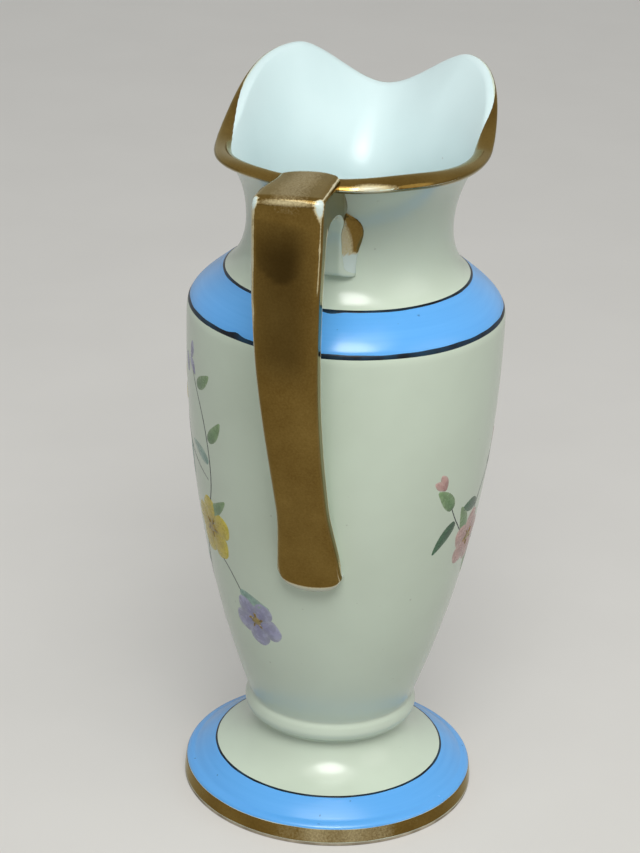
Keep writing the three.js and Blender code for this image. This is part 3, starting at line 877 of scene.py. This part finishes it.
def lower_edges():
    """Outer and inner edge of the strap's lower part, from its nose up to where it stands upright."""
    end_reach = float(belly_radius(END_HEIGHT)) + END_THICKNESS
    low = END_HEIGHT + END_NOSE
    fall = bezier([(end_reach, low),
                   (end_reach + FALL_KICK, blend(STRAIGHT_END, END_HEIGHT, FALL_LOW)),
                   (HANDLE_REACH, blend(STRAIGHT_END, END_HEIGHT, FALL_HIGH)),
                   (HANDLE_REACH, STRAIGHT_END)], 70)
    nose = joined(line((end_reach - END_TUCK, END_HEIGHT), (end_reach - END_NOSE, END_HEIGHT), 4),
                  arc((end_reach - END_NOSE, low), END_NOSE, -90, 0, 8))
    thickness = np.linspace(LOWER_THICKNESS, STRAP_THICKNESS, len(fall))[:, None]
    inner_fall = fall - thickness * right_of(fall)
    inner_fall[:, 0] = np.maximum(inner_fall[:, 0], belly_radius(inner_fall[:, 1]) - END_SUNK)
    inner_nose = line(inner_fall[0] + (0, END_FOLD), inner_fall[0], len(nose) - 1)
    return joined(nose, fall), joined(inner_nose, inner_fall)


def bend_edges():
    """Outer edge up, round the bend and along the arm, and the arch under it."""
    inner_reach = HANDLE_REACH - STRAP_THICKNESS
    spring = inner_reach - ARCH_RADIUS
    apex = HANDLE_TOP - ARM_THICKNESS
    bend_centre = (HANDLE_REACH - BEND_RADIUS, HANDLE_TOP - BEND_RADIUS)
    straight = line((HANDLE_REACH, STRAIGHT_END), (HANDLE_REACH, apex - ARCH_RADIUS), 16)
    inner_straight = line((inner_reach, STRAIGHT_END), (inner_reach, apex - ARCH_RADIUS), 16)
    turn = joined(line(straight[-1], (HANDLE_REACH, bend_centre[1]), 14),
                  arc(bend_centre, BEND_RADIUS, 0, 90, 16),
                  line((bend_centre[0], HANDLE_TOP), (spring, HANDLE_TOP), 12))
    arch = arc((spring, apex - ARCH_RADIUS), ARCH_RADIUS, 0, 90, len(turn) - 1)
    return joined(straight, turn), joined(inner_straight, arch)


def root_edges():
    """Outer edge over the crest of the lip and down inside the wall, and the tongue under it."""
    spring = HANDLE_REACH - STRAP_THICKNESS - ARCH_RADIUS
    apex = HANDLE_TOP - ARM_THICKNESS
    tongue_reach = NECK_RADIUS + TONGUE_THICKNESS
    tongue = bezier([(spring, apex),
                     (blend(tongue_reach, spring, TONGUE_LEAD), apex),
                     (tongue_reach, blend(apex, TONGUE_END, TONGUE_FALL)),
                     (tongue_reach, TONGUE_END)], 36)
    tip = bezier([tongue[-1], (tongue_reach, TONGUE_END - TONGUE_ROUND),
                  (NECK_RADIUS, TONGUE_END - TONGUE_TIP)], 6)
    inner = joined(tongue, tip)
    lap = BACK_REACH - LIP_WALL - ARM_LAP
    rounding = [(lap + past, HANDLE_TOP - drop) for past, drop in LAP_ROUND]
    over = joined(line((spring, HANDLE_TOP), (BACK_REACH, HANDLE_TOP), 8),
                  through([(BACK_REACH, HANDLE_TOP), *rounding], 3))
    heights = np.linspace(HANDLE_TOP - ROOT_START, TONGUE_END - TONGUE_TIP, len(inner) - len(over))
    wall = wall_radius(np.full_like(heights, math.pi), heights) - ROOT_DEPTH
    return np.vstack([over, np.column_stack([wall, heights])]), inner


def strap_edges():
    """Outer and inner edge of the handle as reach from the axis and height, from its lower end up."""
    outer, inner = zip(lower_edges(), bend_edges(), root_edges())
    return joined(*outer), joined(*inner)


def section_outline(thickness):
    """Rounded oblong of the strap, as depth from its inner face and a share of its half width, going
    round from one inner corner over the outer face to the other, and back along the inner face."""
    half = STRAP_WIDTH / 2
    outer = min(OUTER_CORNER, CORNER_LIMIT * thickness)
    inner = min(INNER_CORNER, CORNER_LIMIT * thickness)
    left = joined(
        arc((inner, half - inner), inner, 180, 90, CORNER_STEPS),
        line((inner, half), (thickness - outer, half), SIDE_STEPS),
        arc((thickness - outer, half - outer), outer, 90, 0, CORNER_STEPS),
        line((thickness, half - outer), (thickness, 0), FACE_STEPS // 2),
    )
    right = left[::-1] * (1, -1)
    back = line(right[-1], left[0], FACE_STEPS)[1:-1]
    outline = np.vstack([joined(left, right), back])
    across = outline[:, 1] / half
    outline[:, 0] += STRAP_CROWN * (1 - across ** 2) * np.clip(outline[:, 0] / thickness * 2 - 1, 0, 1)
    return outline


def strap_width(height):
    upper = blend(GRIP_WIDTH, STRAP_WIDTH, smooth(height, GRIP_HEIGHT, HANDLE_TOP - BEND_RADIUS))
    lower = blend(END_WIDTH, GRIP_WIDTH, smooth(height, END_HEIGHT, GRIP_HEIGHT))
    return np.where(height > GRIP_HEIGHT, upper, lower)


def strap_flow(grid):
    """Gives the strap its width, its narrower arm, its flared root, its pointed lower end and its lean."""
    reach, across, height = grid[..., 0], grid[..., 1], grid[..., 2]
    share = np.minimum(1, np.abs(across) / (STRAP_WIDTH / 2))
    near_end = 1 - smooth(height, END_HEIGHT, END_HEIGHT + 2 * END_POINT)
    skew = 1 + END_SKEW * across / (STRAP_WIDTH / 2)
    lift = near_end * END_POINT * skew * (0.5 * share ** 2 + 0.5 * share ** 7)
    upper = height > STRAIGHT_END
    arm = upper * (1 - smooth(reach, BACK_REACH, HANDLE_REACH - STRAP_THICKNESS))
    over = np.maximum(height - ROOT_FLARE_HEIGHT, 0) / ROOT_FLARE_RISE
    under = np.maximum(ROOT_FLARE_HEIGHT - height, 0) / ROOT_FLARE_FALL
    swell = np.sqrt(np.maximum(1 - over ** 2, 0)) * blend(ROOT_FOOT_SHARE, 1, np.exp(-under ** 2))
    off_wall = reach - wall_radius(np.full_like(height, math.pi), height)
    root = upper * swell * (1 - smooth(off_wall, ROOT_FLARE_SKIN, TONGUE_THICKNESS))
    tongue = upper * (1 - smooth(reach, *TONGUE_REACHES)) * (1 - smooth(height, *TONGUE_HEIGHTS))
    width = strap_width(height) + arm * (ARM_WIDTH - STRAP_WIDTH) + 2 * root * ROOT_FLARE
    width = width + tongue * (TONGUE_WIDTH - ARM_WIDTH)
    width = width - END_CORNER * (1 - smooth(height, END_HEIGHT, END_HEIGHT + END_POINT))
    lean = math.tan(HANDLE_LEAN) * (np.minimum(height, NECK_HEIGHT) - PLUMB_HEIGHT)
    sideways = across * width / STRAP_WIDTH + lean - ARM_SIDE_SHIFT * arm
    lift = lift - math.tan(HANDLE_LEAN) * across * smooth(height, NECK_HEIGHT, HANDLE_TOP - ARM_THICKNESS)
    # The back edge of the arm is rounded off into the crest
    far = smooth(-reach, -BACK_REACH, -BACK_REACH + ARM_BACK_LENGTH)
    rounded = ARM_BACK_ROUND * share ** 3 * far * smooth(height, *ARM_BACK_HEIGHTS)
    return np.dstack([-reach - rounded, sideways, height + lift])


def tuck_into_wall(grid, depth):
    """Keeps the far side of the root's sections inside the wall of the neck."""
    angle = np.arctan2(grid[..., 1], grid[..., 0])
    radius = np.hypot(grid[..., 0], grid[..., 1])
    hidden = np.minimum(radius, wall_radius(angle, grid[..., 2]) - ROOT_DEPTH)
    scale = blend(1, hidden / radius, depth ** 2)[..., None]
    return np.concatenate([grid[..., :2] * scale, grid[..., 2:]], axis=2)


def strap_grid():
    """Sections of the whole handle, one row each."""
    rows, depths = [], []
    outer_edge, inner_edge = strap_edges()
    for outer, inner in zip(outer_edge, inner_edge):
        thickness = np.linalg.norm(outer - inner)
        outline = section_outline(thickness)
        side = inner + outline[:, :1] * (outer - inner) / thickness
        rows.append(np.column_stack([side[:, 0], outline[:, 1], side[:, 1]]))
        depths.append(np.clip(outline[:, 0] / thickness, 0, 1))
    grid = strap_flow(np.array(rows))
    upper_half = np.arange(len(outer_edge)) > len(outer_edge) / 2
    hidden = (outer_edge[:, 0] < BACK_REACH) & (outer_edge[:, 1] < HANDLE_TOP - ROOT_HIDDEN)
    in_wall = hidden & upper_half
    grid[in_wall] = tuck_into_wall(grid[in_wall], np.array(depths)[in_wall])
    return grid


def with_poles(grid):
    """Closes the first and last section over their middles."""
    poles = [np.broadcast_to(row.mean(axis=0), row.shape)[None] for row in (grid[0], grid[-1])]
    return np.concatenate([poles[0], grid, poles[1]])


def grid_normals(grid):
    """Outward unit vectors of a grid whose columns close on themselves."""
    along = np.gradient(grid, axis=0)
    around = np.roll(grid, -1, axis=1) - np.roll(grid, 1, axis=1)
    normal = np.cross(along, around)
    outward = grid - grid.mean(axis=1, keepdims=True)
    normal *= np.sign((normal * outward).sum(axis=2).mean())
    return normal / np.maximum(np.linalg.norm(normal, axis=2, keepdims=True), 1e-9)


def wear_line(rows, columns, place, half_width, depth, seed):
    """A worn line along the strap at one column, with a wavering edge."""
    waver = wobble(np.arange(rows) / WAVER_ROWS, 1.0, (5, 9, 17, 31, 53), seed)
    width = half_width * (1 + WAVER_WIDTH * waver) + np.zeros(rows)
    away = (np.arange(columns) - place) / width[:, None]
    return (depth * (1 + WAVER_DEPTH * waver))[:, None] * np.exp(-away ** 2)


class GiltPlaces:
    """Where the points of the strap's gold lie. Rows run up the strap and along the arm, and columns
    go across it from one flank over the face to the other."""

    def __init__(self, columns):
        edge = strap_edges()[0]
        way = lengths(edge)
        self.reach, self.height = edge.T
        turn = int(np.argmax(self.reach + self.height))
        self.shape = (len(edge), columns)
        self.from_bend = way - way[turn]
        self.upright = (np.arange(len(edge)) < turn).astype(float)
        self.on_arm = (1 - self.upright) * (self.reach > BACK_REACH - ARM_GILT_LAP)
        self.left = CORNER_STEPS + SIDE_STEPS + CORNER_STEPS / 2
        self.right = columns - 1 - self.left
        self.face = np.clip((np.arange(columns) - self.left) / (self.right - self.left), 0, 1)
        self.from_middle = np.abs(np.arange(columns) - (columns - 1) / 2)
        corner = self.right - (columns - 1) / 2
        past_face = smooth(self.from_middle, corner + FLANK_START, corner + FLANK_FULL)
        self.flank = past_face * self.upright[:, None]


def edge_wear(gilt):
    """Cream lines along the strap's edges and flanks, and bare corners at the bend."""
    low = END_EDGE_WEAR * (1 - smooth(gilt.height, *END_EDGE_HEIGHTS)) * gilt.upright
    left = LEFT_WEAR * smooth(gilt.height, *LEFT_WEAR_HEIGHTS) * gilt.upright
    right = RIGHT_WEAR * smooth(gilt.height, *RIGHT_WEAR_HEIGHTS) * gilt.upright
    # Each line has its column, its half width in columns, its depth and a seed
    lines = [
        (gilt.left + 0.5, 1.3, left + ARM_LEFT_WEAR * gilt.on_arm + low, 21),
        (gilt.left - 1.5, 2.2, LEFT_WEAR * gilt.upright, 26),
        (gilt.shape[1] - CORNER_STEPS - 1, 3.2, FLANK_WEAR * gilt.upright, 27),
        (gilt.right, 1.1, right + ARM_RIGHT_WEAR * gilt.on_arm + low, 22),
    ]
    # A bare corner reaches further down the strap than back along the arm
    corners = ((gilt.left + 0.5, 2.0, 1.9, 23), (gilt.right - 1.0, 3.2, 2.6, 24))
    for place, drop, half_width, seed in corners:
        spot = np.exp(-(gilt.from_bend / np.where(gilt.from_bend < 0, drop, CORNER_BACK)) ** 2)
        lines.append((place, half_width * (CORNER_THIN + spot), CORNER_BARE * spot, seed))
    return np.max([wear_line(*gilt.shape, *values) for values in lines], axis=0)


def face_wear_and_painted_sheen(gilt):
    """Gold rubbed thin at the bend and widened there into a painted highlight, and a painted sheen on the
    arm's top and just under the bend.
    """
    worn_bend_and_highlight = BEND_WEAR_AND_HIGHLIGHT * np.exp(-((gilt.from_bend + BEND_BELOW) / BEND_SPREAD) ** 2)[:, None]
    drop = blend(GRIP_DROP_LEFT, GRIP_DROP_RIGHT, gilt.face)
    painted_grip_sheen = GRIP_PAINTED_SHEEN * smooth(gilt.from_bend[:, None], -drop, -GRIP_FULL * drop) * gilt.upright[:, None]
    painted_sheen = painted_grip_sheen + ARM_TOP_PAINTED_SHEEN * gilt.on_arm[:, None]
    return np.maximum(worn_bend_and_highlight, painted_sheen) * np.sin(math.pi * gilt.face) ** 0.3


def end_wear(gilt):
    """A cream side and tip at the strap's lower end, and a cream streak down its root."""
    side = (1 - smooth(gilt.height, *END_SIDE_HEIGHTS))[:, None] * gilt.flank
    tip = (1 - smooth(np.arange(gilt.shape[0]), *END_WEAR_ROWS))[:, None]
    root = (1 - gilt.upright) * (1 - smooth(gilt.reach, *ROOT_STREAK_REACHES))
    half = gilt.shape[1] / 2
    streak = root[:, None] * smooth(gilt.from_middle, half - STREAK_START, half - STREAK_FULL)
    return np.maximum(np.maximum(END_SIDE_WEAR * side, ROOT_STREAK * streak), END_WEAR * tip)


def strap_painted_reflection(gilt):
    """How dark the gold is on the upper strap and on its flanks: a painted dark reflection, with a rounded
    hem on the strap.
    """
    height, face = gilt.height[:, None], gilt.face
    hem = PATCH_HEM + HEM_RISE * (face - 0.5) ** 2 + HEM_WAVER * np.sin(HEM_WAVES * face)
    deep = smooth(height, hem, hem + HEM_BLUR) * (1 - smooth(height, *PATCH_TOP))
    deep = deep * (1 - smooth(face, *PATCH_SIDE))
    faint = FAINT_PAINTED_REFLECTION * smooth(height, *FAINT_BOTTOM) * (1 - smooth(height, *FAINT_TOP))
    faint = faint * (1 - FAINT_SIDE_LOSS * smooth(face, *FAINT_SIDE))
    dark = np.maximum(deep, faint) * gilt.upright[:, None] * np.sin(math.pi * face) ** 0.4
    return np.maximum(dark, FLANK_PAINTED_REFLECTION * gilt.flank)


def strap_wear_and_painted_light(columns):
    """How far the strap's gold is worn, with painted highlights and sheen among the wear. The painted dark
    reflection, below zero, shows only where the gold is whole.
    """
    gilt = GiltPlaces(columns)
    wear_and_painted_light = np.max([edge_wear(gilt), face_wear_and_painted_sheen(gilt), end_wear(gilt)], axis=0)
    return wear_and_painted_light - strap_painted_reflection(gilt) * np.clip(1 - 3 * wear_and_painted_light, 0, 1)


def make_handle():
    """The porcelain strap, and the gold over its top, outer face and sides."""
    grid = strap_grid()
    make_piece("strap_handle", [(with_poles(grid), {})], [IVORY],
               ["handle", "handle_upper_lute", "handle_lower_lute"])
    normals = grid_normals(grid)
    gilt = 2 * (CORNER_STEPS + SIDE_STEPS + CORNER_STEPS + FACE_STEPS // 2) + 1
    face = slice(CORNER_STEPS, gilt - CORNER_STEPS)
    rows = slice(STRAP_GILT_ROW, -1)
    proud = grid[rows, face] + COAT_PROUD * normals[rows, face]
    sunk = grid[rows, face] - COAT_SUNK * normals[rows, face]
    shell = np.concatenate([proud, sunk[:, ::-1]], axis=1)
    ends = [np.concatenate([row, row[::-1]])[None] for row in (sunk[0], sunk[-1])]
    shell = np.concatenate([ends[0], shell, ends[1]])
    wear_and_painted_light = strap_wear_and_painted_light(gilt)
    # The gold ends on the flanks of the root, above the bare foot of the tongue
    on_root = grid[:, :gilt, 0] > -(NECK_RADIUS + ROOT_GILT_REACH)
    gilt_end = (ROOT_GILT_END - ROOT_GILT_BLUR, ROOT_GILT_END + ROOT_GILT_BLUR)
    bare = ROOT_BARE * (1 - smooth(grid[:, :gilt, 2], *gilt_end))
    wear_and_painted_light = np.where(on_root, np.maximum(wear_and_painted_light, bare), wear_and_painted_light)
    wear_and_painted_light = wear_and_painted_light[rows, face]
    wear_and_painted_light = np.concatenate([wear_and_painted_light, wear_and_painted_light[:, ::-1]], axis=1)
    wear_and_painted_light = np.concatenate([wear_and_painted_light[:1], wear_and_painted_light, wear_and_painted_light[-1:]])
    make_piece("strap_gold", [(shell, {"wear_and_painted_light": wear_and_painted_light})], [GOLD], ["handle_gilding"])


# Painted sprays: each stroke is a thin lens of enamel on the belly

STROKE_ACROSS = np.array([-1, -0.55, 0, 0.55, 1, 0.55, 0, -0.55])
STROKE_TOP = np.array([0, 1, 1, 1, 0, 0, 0, 0])
STROKE_SUNK = 0.05
PETALS = 5
PETAL_TURN = 360 / PETALS
PETAL_CURL = 14
PETAL_BREADTH = 1.12
# How far strokes stand off the glaze. Each petal lies a little over the one before.
STEM_LIFT, LEAF_LIFT, PETAL_LIFT, PETAL_LAP = 0.03, 0.04, 0.05, 0.008
BUD_LIFT, DISC_LIFT, DOT_LIFT = 0.06, 0.1, 0.13
# Where a stroke is widest: nearer its start below 1, halfway at 1, and nearer its tip above
LEAF_POINT, DISC_POINT, BUD_POINT, PETAL_POINT, DOT_POINT = 0.7, 1.0, 1.2, 1.4, 1.6

YELLOW = ("b09410", "dcc92c", "d3c964")
LILAC = ("8583ad", "adaecb", "c2c9c8")
SKY = ("7d9cb8", "a9c1ce", "c3d1cc")
PINK = ("b07f7a", "cda79f", "cec6b8")
LEAF = ("55804f", "86a672", "b2c2a0")
DARK_LEAF = ("1f4f33", "3a6b48", "6f8d6c")
TEAL = ("7fa79b", "a4c0b2", "bccab9")
STEM = ("2c3436", "3b4644", "59645f")
HEART_DISC = ("8f7a2c", "b39a3a")
HEART_DOTS = ("4a3a1c", "8a6d1c", "b9951c")


def stroke(centre, path, half_width, colours, lift):
    """One stroke of the brush. Its path is millimetres east and north of a centre on the belly, which
    is an angle in degrees and a height. The colours are those of its start, tip and edges."""
    spread = path[:, None] + right_of(path)[:, None] * half_width[:, None, None] * STROKE_ACROSS[:, None]
    height = centre[1] + spread[..., 1]
    full = np.clip(3 * half_width / half_width.max(), 0, 1)[:, None]
    radius = belly_radius(height) + full * (STROKE_TOP * (lift + STROKE_SUNK)) - STROKE_SUNK
    turn = math.radians(centre[0]) + spread[..., 0] / radius
    grid = about_axis(radius, turn, height)
    start, tip, edge = [np.array(linear(code)) for code in colours]
    body = blend(start, tip, np.linspace(0, 1, len(path))[:, None, None])
    tint = blend(body, edge, (STROKE_ACROSS ** 2)[:, None] * 0.6)
    return grid, {"tint": tint}


def petal(centre, place, heading, size, width, colours, lift, point):
    """A petal or leaf that starts at a place and heads a way in degrees."""
    share = np.linspace(0, 1, 15)
    way = np.radians(heading + PETAL_CURL * share)
    path = np.array(place) + size * share[:, None] * np.column_stack([np.cos(way), np.sin(way)])
    half_width = width / 2 * np.abs(np.sin(math.pi * share ** point)) ** 0.8
    half_width[[0, -1]] = 0
    return stroke(centre, path, half_width, colours, lift)


def compass(way):
    """Unit step east and north for a way in degrees."""
    return np.array([math.cos(math.radians(way)), math.sin(math.radians(way))])


def blossom(centre, place, size, colours, heading):
    """Five petals round a dotted heart."""
    middle = np.array(place)
    disc = (*HEART_DISC, colours[0])
    petals, dots = [], []
    for i in range(PETALS):
        way = heading + PETAL_TURN * i
        start = middle + 0.05 * size * compass(way)
        petals.append(petal(centre, start, way - PETAL_CURL / 2, size, PETAL_BREADTH * size, colours,
                            PETAL_LIFT + PETAL_LAP * i, PETAL_POINT))
        between = heading + PETAL_TURN / 2 + PETAL_TURN * i
        start = middle + 0.1 * size * compass(between)
        dots.append(petal(centre, start, between, 0.24 * size, 0.1 * size, HEART_DOTS,
                          DOT_LIFT, DOT_POINT))
    start = middle - (0.24 * size, 0)
    heart = petal(centre, start, -PETAL_CURL / 2, 0.48 * size, 0.46 * size, disc, DISC_LIFT, DISC_POINT)
    return [*petals, heart, *dots]


def stem(centre, points, width):
    path = through(points, 8)
    share = np.linspace(0, 1, len(path))
    half_width = width / 2 * np.sin(math.pi * np.clip(share, 0.03, 0.97)) ** 0.3
    half_width[[0, -1]] = 0
    return stroke(centre, path, half_width, STEM, STEM_LIFT)


def left_spray():
    """Yellow, lilac and pale blue blossoms on one long arching stem."""
    centre = (123, 62)
    marks = [
        stem(centre, [(-13, -27), (-5, -16), (0, -4), (5, 8), (4, 20), (-2, 31)], 0.45),
        stem(centre, [(0, -4), (7, -9), (12, -18)], 0.35),
        stem(centre, [(-5, -16), (-14, -10), (-22, -2)], 0.35),
        stem(centre, [(5, 8), (-5, 13), (-14, 22)], 0.35),
    ]
    leaves = [
        ((-3, -11), 205, 8), ((2, 1), 20, 7.5), ((5, 12), 150, 7), ((5, 17), 35, 6), ((9, -13), 330, 6.5),
        ((-11, -12), 250, 7), ((-5, 13), 260, 6.5), ((1, 27), 20, 5.5), ((-9, -21), 300, 7),
    ]
    for i, (place, heading, size) in enumerate(leaves):
        marks.append(petal(centre, place, heading, size * 1.2, 3.4, (TEAL, LEAF)[i % 2],
                           LEAF_LIFT, LEAF_POINT))
    marks += blossom(centre, (3, -2), 6.4, YELLOW, 20)
    marks += blossom(centre, (12, -19), 5.4, LILAC, 50)
    marks += blossom(centre, (-22, -1), 6.2, SKY, 5)
    marks += blossom(centre, (-14, 23), 5.4, YELLOW, 40)
    for i, place in enumerate([(-2, 31), (-4, 27.5), (0.5, 28.5)]):
        marks.append(petal(centre, place, 95 + 30 * (i - 1), 4.2, 2.6, LILAC, BUD_LIFT, BUD_POINT))
    return marks


def right_spray():
    """Pink blossoms and buds among light and dark leaves."""
    centre = (257, 60)
    marks = [
        stem(centre, [(-11, 13), (-6, 5), (0, -1), (8, -4), (17, -3)], 0.4),
        stem(centre, [(0, -1), (3, 8), (10, 15)], 0.35),
        stem(centre, [(8, -4), (12, -11), (19, -15)], 0.35),
    ]
    leaves = [
        ((-8, 8), 120, 6), ((-6, 5), 215, 6.5), ((-2, 1), 100, 6), ((2, 6), 160, 5.5), ((10, -7), 250, 7),
        ((14, -12), 350, 6.5), ((4, -3), 265, 7), ((6, 12), 30, 6),
    ]
    for i, (place, heading, size) in enumerate(leaves):
        marks.append(petal(centre, place, heading, size * 1.25, 3.8, (LEAF, DARK_LEAF)[i % 2],
                           LEAF_LIFT, LEAF_POINT))
    marks += blossom(centre, (1, -1), 5.8, PINK, 10)
    marks += blossom(centre, (17, -3), 6.4, PINK, 45)
    for place, heading in (((-11, 13), 120), ((10, 15), 70), ((19, -15), 320)):
        marks.append(petal(centre, place, heading - 18, 4.2, 2.4, PINK, PETAL_LIFT, BUD_POINT))
        marks.append(petal(centre, place, heading + 10, 4.0, 2.2, PINK, BUD_LIFT, BUD_POINT))
    return marks


def make_sprays():
    make_piece("painted_spray_yellow", left_spray(), [SPRIG])
    make_piece("painted_spray_pink", right_spray(), [SPRIG])


# Studio

CAMERA_PLACE = (-445.9, -86.7, 273.9)
CAMERA_HEADING = math.radians(11.52)
CAMERA_PITCH = 0.410626
CAMERA_ROLL = 0.037723
FOCAL_PIXELS = 2571.0
IMAGE_HEIGHT = 853
SENSOR = 36.0
TABLE_RADIUS = 4.0
FLOOR_LIFT = 0.32
LAMP_AIM = 0.08

# Soft boxes: azimuth and elevation in degrees, distance and size in metres, watts and colour
LAMPS = (
    ("soft_key", 196, 52, 0.7, 0.36, 2.7, "ffffff"),
    ("soft_overhead", 196, 64, 1.0, 0.8, 3.7, "fffefa"),
    ("soft_fill", 262, 30, 1.2, 0.8, 1.6, "fffdf8"),
)


def toward(turn, tilt):
    """Unit vector that heads a way round and up."""
    return Vector((math.cos(turn) * math.cos(tilt), math.sin(turn) * math.cos(tilt), math.sin(tilt)))


def make_camera():
    """A camera at the photograph's viewing angle."""
    lens = bpy.data.cameras.new("camera")
    lens.sensor_width = SENSOR
    lens.lens = SENSOR * FOCAL_PIXELS / IMAGE_HEIGHT
    lens.clip_start = 0.01
    camera = add_object("camera", lens)
    ahead = toward(CAMERA_HEADING, -CAMERA_PITCH)
    level = Vector((math.sin(CAMERA_HEADING), -math.cos(CAMERA_HEADING), 0))
    up = level.cross(ahead)
    right = math.cos(CAMERA_ROLL) * level + math.sin(CAMERA_ROLL) * up
    axes = Matrix((right, right.cross(ahead), -ahead)).transposed()
    place = Vector((AXIS_X, 0, 0)) + Vector(CAMERA_PLACE)
    camera.matrix_world = Matrix.Translation(place * MM) @ axes.to_4x4()
    bpy.context.scene.camera = camera


def make_lamp(name, azimuth, elevation, distance, size, power, colour):
    """A soft box that looks at the middle of the pitcher."""
    light = bpy.data.lights.new(name, "AREA")
    light.shape = "DISK"
    light.size = size
    light.energy = power
    light.color = linear(colour)[:3]
    lamp = add_object(name, light)
    back = toward(math.radians(azimuth), math.radians(elevation))
    lamp.location = Vector((AXIS_X * MM, 0, LAMP_AIM)) + back * distance
    lamp.rotation_euler = back.to_track_quat("Z", "Y").to_euler()


def seen_rays(tree):
    """One where the camera or a reflection looks, and zero for the light that falls on the pitcher."""
    rays = add(tree, "LightPath")
    mirrored = add(tree, "Math", {"operation": "MAXIMUM"},
                   {0: rays.outputs["Is Glossy Ray"], 1: rays.outputs["Is Transmission Ray"]})
    seen = add(tree, "Math", {"operation": "MAXIMUM"},
               {0: rays.outputs["Is Camera Ray"], 1: mirrored.outputs["Value"]})
    return seen.outputs["Value"]


def make_world():
    """Even pale surroundings, shown paler than the soft light they give."""
    world = bpy.data.worlds.new("pale_studio")
    bpy.context.scene.world = world
    world.use_nodes = True
    tree = world.node_tree
    tree.nodes.clear()
    lit = add(tree, "Background", {"Color": linear("e6ecee"), "Strength": 0.3})
    shown = add(tree, "Background", {"Color": linear("d6d5d2"), "Strength": 1.0})
    both = add(tree, "MixShader", {}, {0: seen_rays(tree), 1: lit.outputs[0], 2: shown.outputs[0]})
    add(tree, "OutputWorld", {}, {"Surface": both.outputs[0]})


def make_floor():
    """A plain pale table top, shown a little paler than its light makes it."""
    mesh = bpy.data.meshes.new("table_top")
    shape = bmesh.new()
    bmesh.ops.create_circle(shape, cap_ends=True, segments=96, radius=TABLE_RADIUS)
    shape.to_mesh(mesh)
    shape.free()
    floor = add_object("table_top", mesh)
    finish, tree, place = new_finish("matt_table_paint")
    mottle = add(tree, "TexNoise", {"Scale": per_metre(40), "Detail": 3.0}, {"Vector": place})
    tone = add(tree, "ValToRGB", {}, {"Fac": mottle.outputs["Fac"]}, [(0.3, "b0aeaa"), (0.7, "b4b2ae")])
    lift = add(tree, "Math", {"operation": "MULTIPLY", 1: FLOOR_LIFT}, {0: seen_rays(tree)})
    close_finish(tree, {"Roughness": 0.8, "Emission Color": linear("dddbd7")},
                 {"Base Color": tone.outputs["Color"], "Emission Strength": lift.outputs["Value"]})
    mesh.materials.append(finish)


make_camera()
make_world()
for lamp_values in LAMPS:
    make_lamp(*lamp_values)
make_floor()
make_body()
make_ring()
make_foot()
make_shoulder_band()
make_foot_band()
make_foot_gold()
make_rim_gold()
make_handle()
make_sprays()

bpy.context.scene.view_settings.view_transform = "Standard"
